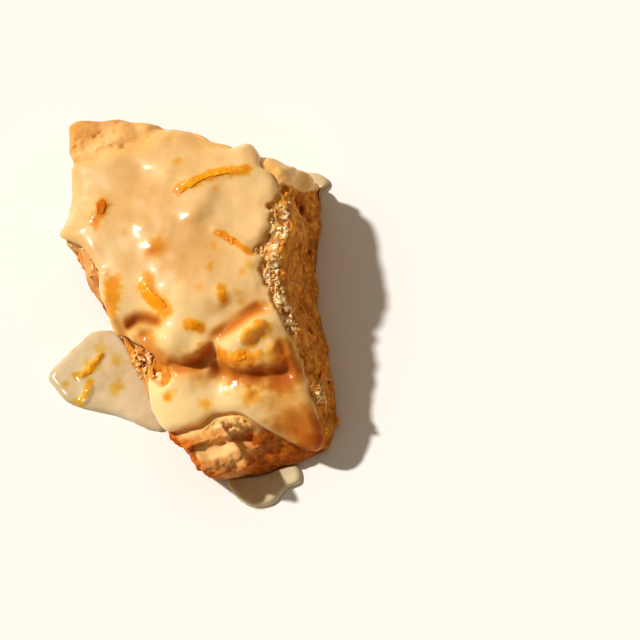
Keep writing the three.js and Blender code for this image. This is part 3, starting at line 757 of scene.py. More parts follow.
def glaze_material():
    """Wet cream glaze, paler on its lower part as painted light, with painted shade in hollows and on slopes
    facing away from the light, tinted over peel, brown with stains and painted shade, and duller where it is
    brown.
    """
    material, nodes, surface = new_material("scone_glaze")
    cream = ramp(nodes, surface.outputs["Tone"], [
        (0.32, colour(224, 180, 119)), (0.52, colour(228, 188, 130)), (0.72, colour(233, 199, 144))])
    # Painted light: a paler cream on the lower rows and to the right, which the key light reaches less.
    shown = nodes.mixed(nodes.attribute("painted_light"), cream, colour(250, 214, 158))
    shown = nodes.mixed(nodes.attribute("thinned"), shown, colour(246, 188, 112))
    # Painted shade in hollows, on slopes facing away from the light and on the upper part.
    shown = nodes.stained_and_shaded(nodes.attribute("hollow_shade"), shown, (0.72, 0.40, 0.14, 1.0))
    shown = nodes.stained_and_shaded(nodes.attribute("orange_tint"), shown, (0.97, 0.45, 0.03, 1.0))
    brown = nodes.attribute("brown_stain_and_shade")
    # Brown stains, and painted shade below folds, in creases and along rims on the shaded side.
    shown = nodes.stained_and_shaded(brown, shown, (0.56, 0.24, 0.04, 1.0))
    finish_material(nodes, {
        "Base Color": shown, "Roughness": scaled(nodes, brown, 0.25, 0.42),
        "Normal": bumped(nodes, surface.outputs["Speckle"], 0.12, 0.2), "Specular IOR Level": 0.25,
        "Coat Weight": scaled(nodes, brown, -0.3, 0.35), "Coat Roughness": 0.14, "Subsurface Weight": 0.5,
        "Subsurface Radius": (1.0, 0.62, 0.34), "Subsurface Scale": 0.9 * MM})
    return material


def pool_material():
    """Thin, clear cream glaze with orange stains round the peel in it."""
    material, nodes, surface = new_material("pool_glaze")
    tone = surface.outputs["Tone"]
    cream = ramp(nodes, tone, [(0.34, colour(212, 190, 150)), (0.66, colour(228, 210, 176))])
    shown = nodes.stained_and_shaded(nodes.attribute("orange_tint"), cream, (0.97, 0.55, 0.04, 1.0))
    finish_material(nodes, {
        "Base Color": shown, "Roughness": 0.14, "Normal": bumped(nodes, tone, 0.2, 0.3), "IOR": 1.42,
        "Transmission Weight": 0.12, "Subsurface Weight": 0.4, "Subsurface Radius": (1.0, 0.8, 0.6),
        "Subsurface Scale": 0.6 * MM})
    return material


def peel_material():
    """Sticky orange peel, some of it deep orange."""
    material, nodes, surface = new_material("candied_peel")
    orange = ramp(nodes, surface.outputs["Tone"], [
        (0.34, colour(244, 136, 8)), (0.54, colour(252, 168, 22)), (0.72, colour(255, 194, 56))])
    orange = nodes.mixed(nodes.attribute("deep"), orange, colour(176, 62, 6))
    finish_material(nodes, {
        "Base Color": orange, "Roughness": 0.3, "Normal": bumped(nodes, surface.outputs["Speckle"], 0.3, 0.2),
        "Specular IOR Level": 0.4, "Subsurface Weight": 0.2, "Subsurface Radius": (1.0, 0.5, 0.2),
        "Subsurface Scale": 0.4 * MM})
    return material


def crumb_material(name, dark, middle, pale):
    """Dry crumb, speckled from dark to pale."""
    material, nodes, surface = new_material(name)
    shown = ramp(nodes, surface.outputs["Speckle"], [(0.34, dark), (0.5, middle), (0.64, pale)])
    finish_material(nodes, {
        "Base Color": shown, "Roughness": 0.9, "Normal": bumped(nodes, surface.outputs["Grain"], 0.4, 0.15),
        "Specular IOR Level": 0.15})
    return material


def crumb_share(points, normals, cad_glaze):
    """1 on the broken side, which faces +X, and 0 on the baked sides."""
    faces_break = smoothstep(0.32, 0.55, normals[:, 0])
    not_end = 1.0 - smoothstep(0.68, 0.85, np.abs(normals[:, 1]))
    away = np.array([(Vector(point) - cad_glaze.find_nearest(Vector(point))[0]).normalized()
                     for point in points])
    beside = smoothstep(0.35, 0.6, away[:, 0]) * (1.0 - smoothstep(0.6, 0.8, np.abs(away[:, 1])))
    share = np.maximum(faces_break * not_end, beside)
    places = photo_places(points)
    above_edge, _ = path_offset(places, BACK_CRUST_EDGE)
    share *= 1.0 - smoothstep(-0.2, 0.3, above_edge)
    across, down = places.T
    share *= 1.0 - smoothstep(*FRONT_CORNER_ROWS, down) * (1.0 - smoothstep(*FRONT_CORNER_COLUMNS, across))
    return share * smoothstep(BREAK_START_X, BREAK_START_X + 3 * MM, points[:, 0])


def torn_share(points, crumb_points, tree):
    """1 in the ragged strip beside the break from which the glaze has come away, and 0 elsewhere."""
    far = nearest_distance(points, crumb_points) / MM + layered_noise(points, TORN_RAGGEDNESS)
    rows = photo_places(points)[:, 1]
    width = TORN_WIDTH * (1.0 - 0.75 * smoothstep(*PALE_ROWS_OUT, rows))
    strip = (1.0 - smoothstep(width - 0.4, width + 0.2, far)) * smoothstep(*TORN_ROWS, rows)
    bites = smoothstep(0.3, 0.6, spot_field(points, NOTCHES, tree))
    return np.maximum(np.maximum(strip, bites), cave_share(points))


def fine_points(mesh, cad_glaze):
    """Which points of the body lie where the photo shows bare crumb or crust close up."""
    points = points_of(mesh)
    normals = neighbour_mean(mesh, normals_of(mesh), 4)
    bare = distances(points, cad_glaze) > 0.6 * MM
    shown = (normals[:, 0] > 0.25) | (normals[:, 1] < -0.35) | (points[:, 2] > 20 * MM)
    return bare & shown & (points[:, 2] > 0.2 * MM) & (normals[:, 2] > -0.3)


def scone_blank(cad_glaze):
    """The scone's solid with a smooth skin, split finer where its crumb and crust are seen close up."""
    faces = welded(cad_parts["scone"])
    bmesh.ops.join_triangles(faces, faces=faces.faces, angle_face_threshold=JOIN_ANGLE,
                             angle_shape_threshold=JOIN_ANGLE)
    crease = faces.edges.layers.float.new("crease_edge")
    for edge in faces.edges:
        if all(vertex.co.z < 0.05 * MM for vertex in edge.verts):
            edge[crease] = 1.0
    piece = object_from(faces, "scone_body")
    smooth_skin(piece, SCONE_LEVELS)
    refine(piece, fine_points(piece.data, cad_glaze))
    return piece


class SconeSkin:
    """What is known at each point of the scone's skin before it is moved, and what follows from it."""

    def __init__(self, mesh, tree, cad_glaze):
        points = points_of(mesh)
        normals = neighbour_mean(mesh, normals_of(mesh), 6)
        self.points = points
        self.tree = tree
        self.normals = normals / np.linalg.norm(normals, axis=1)[:, None]
        self.places = photo_places(points)
        self.from_glaze = distances(points, cad_glaze)
        self.bare, self.crumb = self.bare_and_crumb(cad_glaze)
        self.front = smoothstep(0.3, 0.6, -self.normals[:, 1])
        self.shaded_end = smoothstep(*SHADED_END_COLUMNS, self.places[:, 0])
        self.soft_edge = soft_edge_share(points)
        self.beside_glaze = self.soft_edge * (1.0 - smoothstep(1.0 * MM, 6.0 * MM, self.from_glaze))
        self.big = lumps_at(points, 4.4 * MM, 1, 1.0)
        self.small = lumps_at(points, 1.5 * MM, 2, 1.3)
        self.swell = noise_at(points, 7 * MM, 3)
        self.rough = noise_at(points, 1.0 * MM, 4)
        self.crust_swell = noise_at(points, 5.5 * MM, 5)
        self.holes = spot_field(points, HOLES, tree, HOLLOW_EDGE)
        self.pores = spot_field(points, PORES, tree, HOLLOW_EDGE)

    def bare_and_crumb(self, cad_glaze):
        """Where the glaze leaves the scone bare, and where its crumb shows."""
        bare = smoothstep(0.4 * MM, 1.0 * MM, self.from_glaze)
        broken = crumb_share(self.points, self.normals, cad_glaze)
        spots = smoothstep(0.1, 0.5, spot_field(self.points, CRUMB_SPOTS, self.tree))
        torn = torn_share(self.points, self.points[broken * bare > 0.5], self.tree)
        crumb = np.maximum(np.maximum(broken, spots) * bare, torn)
        return np.maximum(bare, torn), crumb

    def relief(self):
        """Height in mm along the normals: lumps and holes of the crumb, swells and pores of the crust."""
        lumps = 0.8 * (self.big - 0.6) + 0.4 * (self.small - 0.6)
        crumb = lumps + 0.7 * self.swell + 0.2 * self.rough - self.holes
        fine = noise_at(self.points, 1.4 * MM, 6)
        grainy = noise_at(self.points, 0.8 * MM, 9)
        crust = 0.35 * self.crust_swell + 0.1 * fine - 0.7 * self.pores
        crust += self.front * (1.0 - 0.8 * self.shaded_end) * (0.4 * fine + 0.25 * grainy)
        return self.crumb * crumb + (1.0 - self.crumb) * crust

    def forms(self, toward_eye):
        """Height in mm towards the eye: the forms shared with the glaze, and those of bare crust alone."""
        facing = self.normals @ toward_eye
        shared = form_height(self.points) * smoothstep(0.1, 0.4, facing)
        uneven = 1.0 + 0.2 * self.crust_swell + 0.1 * noise_at(self.points, 2.4 * MM, 11)
        front = fold_height(self.places, CRUST_FOLDS) + lip_height(self.places) * uneven
        crust = swell_height(self.places, CRUST_SWELLS)
        crust += front * smoothstep(0.5 * MM, 6.0 * MM, self.from_glaze)
        return shared + self.bare * crust * smoothstep(0.0, 0.2, facing)

    def moved(self):
        """The points with relief and forms, and none below the floor."""
        above_floor = smoothstep(0.3 * MM, 2.0 * MM, self.points[:, 2])
        bare_push = self.bare * (self.relief() + 0.7 * self.beside_glaze) * above_floor
        push = (bare_push + (1.0 - self.bare) * 0.4 * self.soft_edge) * MM
        toward_eye = np.array(camera_axes()[2])
        forms = self.forms(toward_eye) * MM
        moved = self.points + self.normals * push[:, None] + toward_eye * forms[:, None]
        moved[:, 2] = np.maximum(moved[:, 2], 0.0)
        return pulled(moved, PULLS + CRUST_PULLS)

    def groove(self):
        """How much painted shade a point gets between lumps of crumb, in a hole or in a pore, from 0 to 1."""
        share = self.crumb * (1.0 - smoothstep(0.05, 0.5, 0.5 * self.big + 0.5 * self.small)) * 0.5
        share = np.maximum(share, self.crumb * smoothstep(0.2, 1.0, self.holes) * 0.8)
        return np.maximum(share, (1.0 - self.crumb) * smoothstep(0.2, 1.0, self.pores) * 0.35)

    def browning_and_shade(self):
        """How brown the crust is, from 0 to 1: low down, at the back, on the left wall and in front, with
        painted shade in the folds and creases of the front and at its right end.
        """
        across, down = self.places.T
        low = 1.0 - smoothstep(1.0 * MM, 7.0 * MM, self.points[:, 2])
        left = smoothstep(0.3, 0.6, -self.normals[:, 0]) * smoothstep(*LEFT_WALL_ROWS, down)
        back = (1.0 - smoothstep(*BACK_CRUST_ROWS, down)) * (1.0 - smoothstep(*BACK_CRUST_COLUMNS, across))
        patches = (self.front + 0.4 * left) * 0.4 * smoothstep(0.0, 0.5, self.crust_swell)
        share = 0.5 * low + 0.5 * back + patches + 0.6 * left
        # Painted shade: darker crust below the folds and in the creases of the front, and at its right end.
        shade = 0.7 * fold_shade(self.points) + 0.9 * self.shaded_end
        share += self.front * (shade + 0.1 * smoothstep(*LOWER_FRONT_ROWS, down))
        share += 0.45 * lip_height(self.places) / FRONT_LIP_HEIGHT
        return np.clip(share, 0.0, 1.0)

    def pale(self):
        """How much of the crumb keeps its pale, lit tone, not the painted shade of the broken side, from 0 to
        1: along the upper edge of the break, and in spots.
        """
        down = self.places[:, 1] + 5 * self.rough
        share = 1.0 - smoothstep(1.4 * MM, 3.0 * MM, self.from_glaze + 0.6 * MM * self.swell)
        share *= between(down, PALE_ROWS_IN, PALE_ROWS_OUT)
        return np.maximum(share, spot_field(self.points, PALE_SPOTS, self.tree))

    def glazed_and_lit(self):
        """How much a film of glaze lies on the bare crust beside the coat, and how much painted light lies on
        the back shelf, from 0 to 1.
        """
        above_edge, _ = path_offset(self.places, BACK_CRUST_EDGE)
        # Painted light: the back shelf is made paler and glossier, like crust under a film of glaze.
        shelf = smoothstep(-0.2, 0.6, above_edge) * smoothstep(*SHELF_COLUMNS, self.places[:, 0])
        return np.maximum(0.7 * self.beside_glaze, shelf) * (1.0 - smoothstep(0.1, 0.6, self.pores))


def scone_piece(cad_glaze):
    """The crust and the crumb, with their relief in the mesh, and the skin as it was before that."""
    piece = scone_blank(cad_glaze)
    mesh = piece.data
    tree = surface_tree(piece)
    skin = SconeSkin(mesh, tree, cad_glaze)
    move_points(mesh, skin.moved())
    store(mesh, "bare", skin.bare)
    store(mesh, "crumb", skin.crumb)
    store(mesh, "groove", skin.groove())
    store(mesh, "browning_and_shade", skin.browning_and_shade())
    store(mesh, "pale", skin.pale())
    store(mesh, "glazed_and_lit", skin.glazed_and_lit())
    return piece, tree


def strip_points(route, tree):
    """The strip's points on the surface, their normals and their half widths."""
    made = []
    for place, width in zip(route["path"], route["widths"]):
        point, normal = seen_at(place, tree)
        made.append((point + normal * route["lift"] * MM, normal, 0.5 * width * MM))
    return made


def along_route(stops):
    """Points close together along the straight lines between a strip's stops."""
    made = []
    for (first, _, _), (second, _, _) in zip(stops, stops[1:]):
        steps = max(2, int((second - first).length / (0.4 * MM)))
        made += [first.lerp(second, step / steps) for step in range(steps + 1)]
    return made


def strip_tint(points, routes, tree):
    """How strongly strips of peel tint the glaze over and beside them."""
    tint = np.zeros(len(points))
    ragged = 1.0 + 0.5 * noise_at(points, 1.3 * MM, 41)
    for route in routes.values():
        half_width = 0.5 * max(route["widths"]) * MM
        far = nearest_distance(points, along_route(strip_points(route, tree))) / (half_width * ragged)
        tint = np.maximum(tint, 0.7 * (1.0 - smoothstep(0.7, 1.7, far)))
    return tint


def outward_share(points, normals, skin_tree):
    """1 on the glaze's outer face and 0 on its under side, and the scone's normals and points below it."""
    found = [skin_tree.find_nearest(Vector(point)) for point in points]
    below = np.array([normal for _, normal, _, _ in found])
    under = np.array([point for point, _, _, _ in found])
    return smoothstep(0.0, 0.6, np.einsum("ij,ij->i", below, normals)), below, under


def glaze_blank():
    """The glaze's solid as an even skin without its plain bars of peel.

    With it come its surface before the bars were smoothed away and points along their lines.
    """
    piece = object_from(welded(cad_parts["glaze"]), "glaze_coat")
    modify(piece, "REMESH", mode="VOXEL", voxel_size=GLAZE_VOXEL)
    modify(piece, "SMOOTH", factor=0.5, iterations=14)
    tree = surface_tree(piece)
    strip_lines = []
    for route in PEEL.values():
        strip_lines += along_route(strip_points(route, tree))
    group = piece.vertex_groups.new(name="peel_bars")
    far = nearest_distance(points_of(piece.data), strip_lines)
    weights = 1.0 - smoothstep(1.6 * MM, 2.8 * MM, far)
    for index in np.nonzero(weights > 0.01)[0]:
        group.add([int(index)], float(weights[index]), "REPLACE")
    modify(piece, "SMOOTH", factor=0.6, iterations=40, vertex_group="peel_bars")
    return piece, tree, strip_lines


def glaze_rise(points, tree, strip_lines):
    """Height in mm of the ripples, and of the peel on and under the glaze."""
    ripple = layered_noise(points, GLAZE_RIPPLES)
    raised = 0.12 * (1.0 - smoothstep(0.8 * MM, 2.6 * MM, nearest_distance(points, strip_lines)))
    lumpy = layered_noise(points, PEEL_LUMPINESS, 0.22)
    raised += smoothstep(0.0, 1.0, spot_field(points, PEEL_LUMPS, tree)) * lumpy
    return ripple + raised


def glaze_sink(points, from_bare):
    """How far in mm the glaze sinks near its edge, at a distance in mm from bare scone.

    The edge is feathered at the back, torn along the break and crisp elsewhere.
    """
    soft_edge = soft_edge_share(points)
    broken = smoothstep(BREAK_START_X - 10 * MM, BREAK_START_X - 4 * MM, points[:, 0])
    crisp = 0.4 * (1.0 - smoothstep(0.2, 1.2, from_bare))
    torn = 2.2 * (1.0 - smoothstep(0.1, 0.8, from_bare)) + 0.6 * (1.0 - smoothstep(0.3, 3.0, from_bare))
    feather = 1.5 * (1.0 - smoothstep(0.2, 6.5, from_bare))
    sink = soft_edge * feather + (1.0 - soft_edge) * (broken * torn + (1.0 - broken) * crisp)
    return sink + 3.0 * cave_share(points)


def stain_glaze(mesh, tree, bare_points):
    """Keeps, for the material, where the glaze fades at its edge, what shows through it, and its painted
    light, painted shade and brown stains.
    """
    points = points_of(mesh)
    normals = normals_of(mesh)
    sunken = np.einsum("ij,ij->i", neighbour_mean(mesh, points, 14) - points, normals) / MM
    from_bare = nearest_distance(points, bare_points)
    inside = smoothstep(1.5 * MM, 3.5 * MM, from_bare)
    soft_edge = soft_edge_share(points)
    store(mesh, "thinned", soft_edge * (1.0 - smoothstep(1.0 * MM, 7.0 * MM, from_bare)))
    tint = np.maximum(spot_field(points, ORANGE_SPOTS, tree), strip_tint(points, PEEL, tree))
    patchy = 0.55 + 0.35 * noise_at(points, 1.6 * MM, 45)
    over_peel = smoothstep(0.0, 0.5, spot_field(points, PEEL_LUMPS, tree))
    tint = np.maximum(tint, patchy * over_peel)
    store(mesh, "orange_tint", np.maximum(tint, 0.22 * fleck_field(points, 5.5 * MM, 71)))
    # Painted shade: darker glaze in hollows, on slopes that face away from the light and in broad patches on
    # the upper part.
    shaded_side = 0.75 * normals[:, 0] - 0.66 * normals[:, 1]
    shaded_slope = smoothstep(0.35, 0.8, shaded_side) * inside
    hollow_shade = np.maximum(0.7 * smoothstep(0.1, 0.5, sunken) * inside, 0.6 * shaded_slope) * (1.0 - 0.7 * over_peel)
    store(mesh, "hollow_shade", np.maximum(hollow_shade, spot_field(points, PAINTED_SHADE_SPOTS, tree)))
    # Painted light on the lower rows and to the right.
    across, down = photo_places(points).T
    painted_light = np.maximum(smoothstep(*PAINTED_LIGHT_ROWS, down), 0.6 * smoothstep(*PAINTED_LIGHT_COLUMNS, across))
    store(mesh, "painted_light", painted_light)
    # Brown stains, with painted shade below folds and in creases.
    brown = np.maximum(spot_field(points, BROWN_AND_SHADE_SPOTS, tree), 0.8 * fold_shade(points))
    # Painted shade along the glaze's rim on the side facing away from the light.
    rim = 1.0 - smoothstep(0.6 * MM, 2.0 * MM, from_bare)
    shaded_rim = (1.0 - soft_edge) * smoothstep(0.1, 0.5, shaded_side) * rim
    store(mesh, "brown_stain_and_shade", np.maximum(brown, 0.6 * shaded_rim))


def glaze_piece(body, skin_tree):
    """The glaze coat, smooth and rippled, without the CAD's plain bars of peel."""
    piece, first_tree, strip_lines = glaze_blank()
    points = points_of(piece.data)
    normals = normals_of(piece.data)
    outer, below, under = outward_share(points, normals, skin_tree)
    bare_points = points_of(body.data)[read(body.data, "bare") > 0.6]
    from_bare = nearest_distance(under, bare_points) / MM
    sink = glaze_sink(points, from_bare)
    inside = smoothstep(0.5, 3.0, from_bare)
    points += normals * (glaze_rise(points, first_tree, strip_lines) * inside * outer * MM)[:, None]
    points -= below * (sink * MM)[:, None]
    points += np.array(camera_axes()[2]) * (form_height(points) * MM)[:, None]
    move_points(piece.data, pulled(points, PULLS + GLAZE_PULLS))
    modify(piece, "REMESH", mode="VOXEL", voxel_size=GLAZE_VOXEL)
    modify(piece, "SMOOTH", factor=0.5, iterations=5)
    tree = surface_tree(piece)
    stain_glaze(piece.data, tree, bare_points)
    return piece, tree


def pool_piece(node_name, name):
    """A pool of glaze with a soft, rounded top."""
    piece = object_from(welded(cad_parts[node_name]), name)
    modify(piece, "REMESH", mode="VOXEL", voxel_size=POOL_VOXEL)
    modify(piece, "SMOOTH", factor=0.5, iterations=3)
    mesh = piece.data
    points = points_of(mesh)
    top = smoothstep(0.4 * MM, 1.2 * MM, points[:, 2])
    points[:, 2] += top * MM * layered_noise(points, POOL_RIPPLES)
    points[:, 2] = np.maximum(points[:, 2], 0.0)
    move_points(mesh, pulled(points, PULLS))
    return piece


def wobble(nodes, scale, detail, strength):
    """Offsets in all directions from a noise, as strong as a socket says."""
    pattern = nodes.add("ShaderNodeTexNoise", {"Scale": scale, "Detail": detail})
    centred = nodes.add("ShaderNodeVectorMath", {0: pattern.outputs["Color"], 1: (0.5, 0.5, 0.5)},
                        operation="SUBTRACT")
    sized = nodes.add("ShaderNodeVectorMath", {0: centred.outputs["Vector"], "Scale": strength},
                      operation="SCALE")
    return sized.outputs["Vector"]


def finish_tree(nodes, geometry, material):
    """Ends a geometry tree with its material."""
    done = nodes.add("GeometryNodeSetMaterial", {"Geometry": geometry, "Material": material})
    nodes.add("NodeGroupOutput", {"Geometry": done.outputs["Geometry"]})


def peel_tree():
    """Geometry nodes that sweep a soft-edged strip along each path and crinkle it."""
    tree = bpy.data.node_groups.new("peel_strips", "GeometryNodeTree")
    add_sockets(tree, "INPUT", {"Geometry": "Geometry", "Material": "Material", "Crinkle": "Float"})
    add_sockets(tree, "OUTPUT", {"Geometry": "Geometry"})
    nodes = Nodes(tree)
    start = nodes.add("NodeGroupInput")
    path = nodes.add("GeometryNodeMeshToCurve", {"Mesh": start.outputs["Geometry"]})
    smooth = nodes.add("GeometryNodeCurveSplineType", {"Curve": path.outputs["Curve"]},
                       spline_type="CATMULL_ROM")
    even = nodes.add("GeometryNodeResampleCurve", {"Curve": smooth.outputs["Curve"], "Length": PEEL_STEP},
                     mode="LENGTH")
    lay = nodes.add("GeometryNodeInputNamedAttribute", {"Name": "lay"}, data_type="FLOAT_VECTOR")
    turned = nodes.add("GeometryNodeSetCurveNormal", {"Curve": even.outputs["Curve"],
                                                      "Normal": lay.outputs["Attribute"]}, mode="FREE")
    section = nodes.add("GeometryNodeCurvePrimitiveQuadrilateral", {"Width": 0.42, "Height": 2.0})
    rounded = nodes.add("GeometryNodeFilletCurve", {"Curve": section.outputs["Curve"], "Count": 3,
                                                    "Radius": 0.2}, mode="POLY")
    half_width = nodes.add("GeometryNodeInputNamedAttribute", {"Name": "half_width"}, data_type="FLOAT")
    swept = nodes.add("GeometryNodeCurveToMesh", {
        "Curve": turned.outputs["Curve"], "Profile Curve": rounded.outputs["Curve"],
        "Scale": half_width.outputs["Attribute"], "Fill Caps": True})
    finer = nodes.add("GeometryNodeSubdivisionSurface", {"Mesh": swept.outputs["Mesh"], "Level": 1})
    offset = wobble(nodes, 800.0, 2.0, start.outputs["Crinkle"])
    crinkled = nodes.add("GeometryNodeSetPosition", {"Geometry": finer.outputs["Mesh"], "Offset": offset})
    soft = nodes.add("GeometryNodeSetShadeSmooth", {"Geometry": crinkled.outputs["Geometry"]})
    real = nodes.add("GeometryNodeRealizeInstances", {"Geometry": soft.outputs["Geometry"]})
    finish_tree(nodes, real.outputs["Geometry"], start.outputs["Material"])
    return tree


def crumb_tree():
    """Geometry nodes that scatter lumpy crumbs over a surface where its scatter share is high."""
    tree = bpy.data.node_groups.new("crumb_scatter", "GeometryNodeTree")
    add_sockets(tree, "INPUT", {"Geometry": "Geometry", "Material": "Material", "Spacing": "Float",
                                "Density": "Float", "Smallest": "Float", "Largest": "Float", "Seed": "Int"})
    add_sockets(tree, "OUTPUT", {"Geometry": "Geometry"})
    nodes = Nodes(tree)
    start = nodes.add("NodeGroupInput")
    share = nodes.add("GeometryNodeInputNamedAttribute", {"Name": "scatter"}, data_type="FLOAT")
    spread = nodes.add("GeometryNodeDistributePointsOnFaces", {
        "Mesh": start.outputs["Geometry"], "Distance Min": start.outputs["Spacing"],
        "Density Max": start.outputs["Density"], "Density Factor": share.outputs["Attribute"],
        "Seed": start.outputs["Seed"]}, distribute_method="POISSON")
    lump = nodes.add("GeometryNodeMeshIcoSphere", {"Radius": 0.5, "Subdivisions": 2})
    size = nodes.add("FunctionNodeRandomValue", {2: start.outputs["Smallest"], 3: start.outputs["Largest"],
                                                 "Seed": start.outputs["Seed"]}, data_type="FLOAT")
    turn = nodes.add("FunctionNodeRandomValue", {0: (0.0, 0.0, 0.0), 1: ANY_TURN}, data_type="FLOAT_VECTOR")
    placed = nodes.add("GeometryNodeInstanceOnPoints", {
        "Points": spread.outputs["Points"], "Instance": lump.outputs["Mesh"], "Scale": size.outputs[1]})
    rotated = nodes.add("GeometryNodeRotateInstances", {"Instances": placed.outputs["Instances"],
                                                        "Rotation": turn.outputs[0]})
    real = nodes.add("GeometryNodeRealizeInstances", {"Geometry": rotated.outputs["Instances"]})
    strong = nodes.add("ShaderNodeMath", {0: start.outputs["Largest"], 1: 1.6}, operation="MULTIPLY")
    offset = wobble(nodes, 1300.0, 1.0, strong.outputs["Value"])
    lumpy = nodes.add("GeometryNodeSetPosition", {"Geometry": real.outputs["Geometry"], "Offset": offset})
    finish_tree(nodes, lumpy.outputs["Geometry"], start.outputs["Material"])
    return tree


def grow(piece, tree, **values):
    """Runs a geometry tree on a piece, with the tree's named inputs, and keeps the mesh it makes."""
    modifier = piece.modifiers.new(tree.name, "NODES")
    modifier.node_group = tree
    for item in tree.interface.items_tree:
        if item.in_out == "INPUT" and item.name in values:
            modifier[item.identifier] = values[item.name]
    settle(piece)


def dress(piece, material):
    """Gives a piece its one material and soft shading."""
    piece.data.materials.clear()
    piece.data.materials.append(material)
    piece.data.shade_smooth()


def peel_piece(name, routes, surface, material, crinkle):
    """Strips of peel as one piece: paths laid on a surface, then swept."""
    mesh = bpy.data.meshes.new(name)
    points = []
    edges = []
    lays = []
    widths = []
    depths = []
    for route_name, route in routes.items():
        stops = strip_points(route, surface)
        for order, (point, normal, half_width) in enumerate(stops):
            if order:
                edges.append((len(points) - 1, len(points)))
            points.append(point)
            lays.append(normal)
            widths.append(half_width)
            depths.append(DEEP_ORANGE.get(route_name, 0.0))
    mesh.from_pydata(points, edges, [])
    mesh.attributes.new("lay", "FLOAT_VECTOR", "POINT").data.foreach_set("vector", np.array(lays).ravel())
    store(mesh, "half_width", widths)
    store(mesh, "deep", depths)
    piece = object_with(mesh, name)
    grow(piece, PEEL_TREE, Material=material, Crinkle=crinkle)
    return piece


def crumb_piece(name, source, scatter, material, settings):
    """Crumbs scattered over a copy of a piece by a share per point, then melted into rough clumps."""
    piece = object_with(source.data.copy(), name)
    store(piece.data, "scatter", scatter)
    grow(piece, CRUMB_TREE, Material=material, **settings)
    modify(piece, "REMESH", mode="VOXEL", voxel_size=CRUMB_VOXEL)
    points = points_of(piece.data)
    rough = layered_noise(points, CLUMP_ROUGHNESS)
    move_points(piece.data, points + normals_of(piece.data) * (rough * MM)[:, None])
    dress(piece, material)
    return piece


def declare(piece, slot, *nodes):
    """Fixes a finished piece to the body and hides the CAD nodes it stands for. The slot is not used."""
    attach(piece, "root")
    if nodes:
        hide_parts(*nodes)


def build_floor():
    """A plain pale floor under the object."""
    size = FLOOR_HALF_SIZE
    corners = [(-size, -size, 0), (size, -size, 0), (size, size, 0), (-size, size, 0)]
    mesh = bpy.data.meshes.new("floor")
    mesh.from_pydata(corners, [], [(0, 1, 2, 3)])
    floor = object_with(mesh, "floor")
    material = bpy.data.materials.new("floor")
    material.use_nodes = True
    shader = material.node_tree.nodes["Principled BSDF"]
    shader.inputs["Base Color"].default_value = FLOOR_COLOUR
    shader.inputs["Roughness"].default_value = 0.9
    mesh.materials.append(material)


def build_light():
    """A soft-edged key light from the upper left, with an even warm fill from all round."""
    key = bpy.data.lights.new("key", "SUN")
    key.energy = SUN_STRENGTH
    key.angle = math.radians(SUN_WIDTH_DEG)
    key.color = SUN_COLOUR
    lamp = bpy.data.objects.new("key", key)
    lamp.rotation_euler = Vector(SUN_FROM).to_track_quat("Z", "Y").to_euler()
    bpy.context.scene.collection.objects.link(lamp)
    world = bpy.data.worlds.new("studio")
    world.use_nodes = True
    backdrop = world.node_tree.nodes["Background"]
    backdrop.inputs["Color"].default_value = FILL_COLOUR
    backdrop.inputs["Strength"].default_value = FILL_STRENGTH
    bpy.context.scene.world = world


def build_camera():
    """A camera at the photo's angle, whose picture has the photo's scale and framing."""
    right, up, back = camera_axes()
    lens = bpy.data.cameras.new("view")
    lens.sensor_width = SENSOR_WIDTH
    lens.lens = SENSOR_WIDTH * CAMERA_DISTANCE * PIXELS_PER_METRE / PHOTO_SIZE
    lens.clip_end = 20.0
    camera = bpy.data.objects.new("view", lens)
    turn = Matrix((right, up, back)).transposed().to_4x4()
    camera.matrix_world = Matrix.Translation(PICTURE_CENTRE + back * CAMERA_DISTANCE) @ turn
    bpy.context.scene.collection.objects.link(camera)
    bpy.context.scene.camera = camera


# The finishes and the node trees that the pieces share.
SURFACE = surface_group()
PEEL_TREE = peel_tree()
CRUMB_TREE = crumb_tree()
CRUST = crust_material()
GLAZE = glaze_material()
POOL = pool_material()
PEEL_LOOK = peel_material()
PALE_CRUMB = crumb_material("pale_crumb", colour(232, 164, 92), colour(250, 212, 154), colour(255, 240, 206))
GOLDEN_CRUMB = crumb_material("golden_crumb", colour(200, 122, 46), colour(234, 176, 96),
                              colour(252, 224, 166))

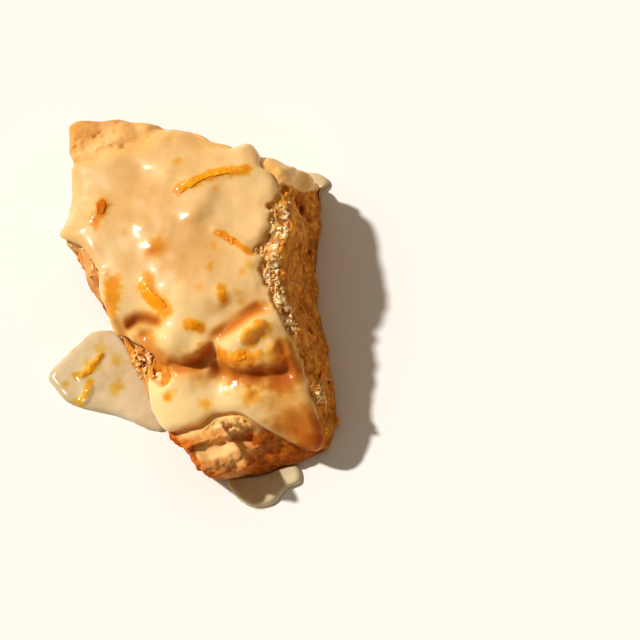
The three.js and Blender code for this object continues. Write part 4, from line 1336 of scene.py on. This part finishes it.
# The scone and the glaze.
cad_glaze_tree = BVHTree.FromBMesh(welded(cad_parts["glaze"]))
scone, skin_tree = scone_piece(cad_glaze_tree)
dress(scone, CRUST)
scone_tree = surface_tree(scone)
glaze, glaze_tree = glaze_piece(scone, skin_tree)
dress(glaze, GLAZE)

# The pools, stained by the peel in the one at the side.
pools = {}
for pool_name in ("glaze_pool_side", "glaze_pool_front", "glaze_pool_back"):
    pools[pool_name] = pool_piece(pool_name, pool_name.replace("glaze_pool", "pool"))
    dress(pools[pool_name], POOL)
side_tree = surface_tree(pools["glaze_pool_side"])
for pool in pools.values():
    pool_points = points_of(pool.data)
    stain = spot_field(pool_points, POOL_SPOTS, side_tree)
    stain = np.maximum(stain, strip_tint(pool_points, POOL_PEEL, side_tree))
    store(pool.data, "orange_tint", stain)

# The peel and the crumbs.
glaze_peel = peel_piece("peel_on_glaze", PEEL, glaze_tree, PEEL_LOOK, GLAZE_PEEL_CRINKLE)
pool_peel = peel_piece("peel_in_pool", POOL_PEEL, side_tree, PEEL_LOOK, POOL_PEEL_CRINKLE)
break_peel = peel_piece("peel_in_break", BREAK_PEEL, scone_tree, PEEL_LOOK, BREAK_PEEL_CRINKLE)
body_points = points_of(scone.data)
clumps = smoothstep(-0.45, 0.1, noise_at(body_points, 2.6 * MM, 61))
strip_share = read(scone.data, "crumb") * read(scone.data, "pale") * clumps
strip_crumbs = crumb_piece("crumbs_strip", scone, strip_share, PALE_CRUMB, STRIP_CRUMBS)
side_share = smoothstep(0.1, 0.5, spot_field(body_points, CRUMB_SPOTS, scone_tree))
side_crumbs = crumb_piece("crumbs_side", scone, side_share, GOLDEN_CRUMB, SIDE_CRUMBS)

declare(scone, "crust", "scone")
declare(glaze, "glaze", "glaze")
for pool_name, pool in pools.items():
    declare(pool, "glaze", pool_name)
for extra in (glaze_peel, pool_peel, break_peel):
    declare(extra, "glaze")
for extra in (strip_crumbs, side_crumbs):
    declare(extra, "crust")

build_floor()
build_light()
build_camera()
bpy.context.scene.view_settings.view_transform = "Standard"
bpy.context.scene.view_settings.look = "Medium High Contrast"
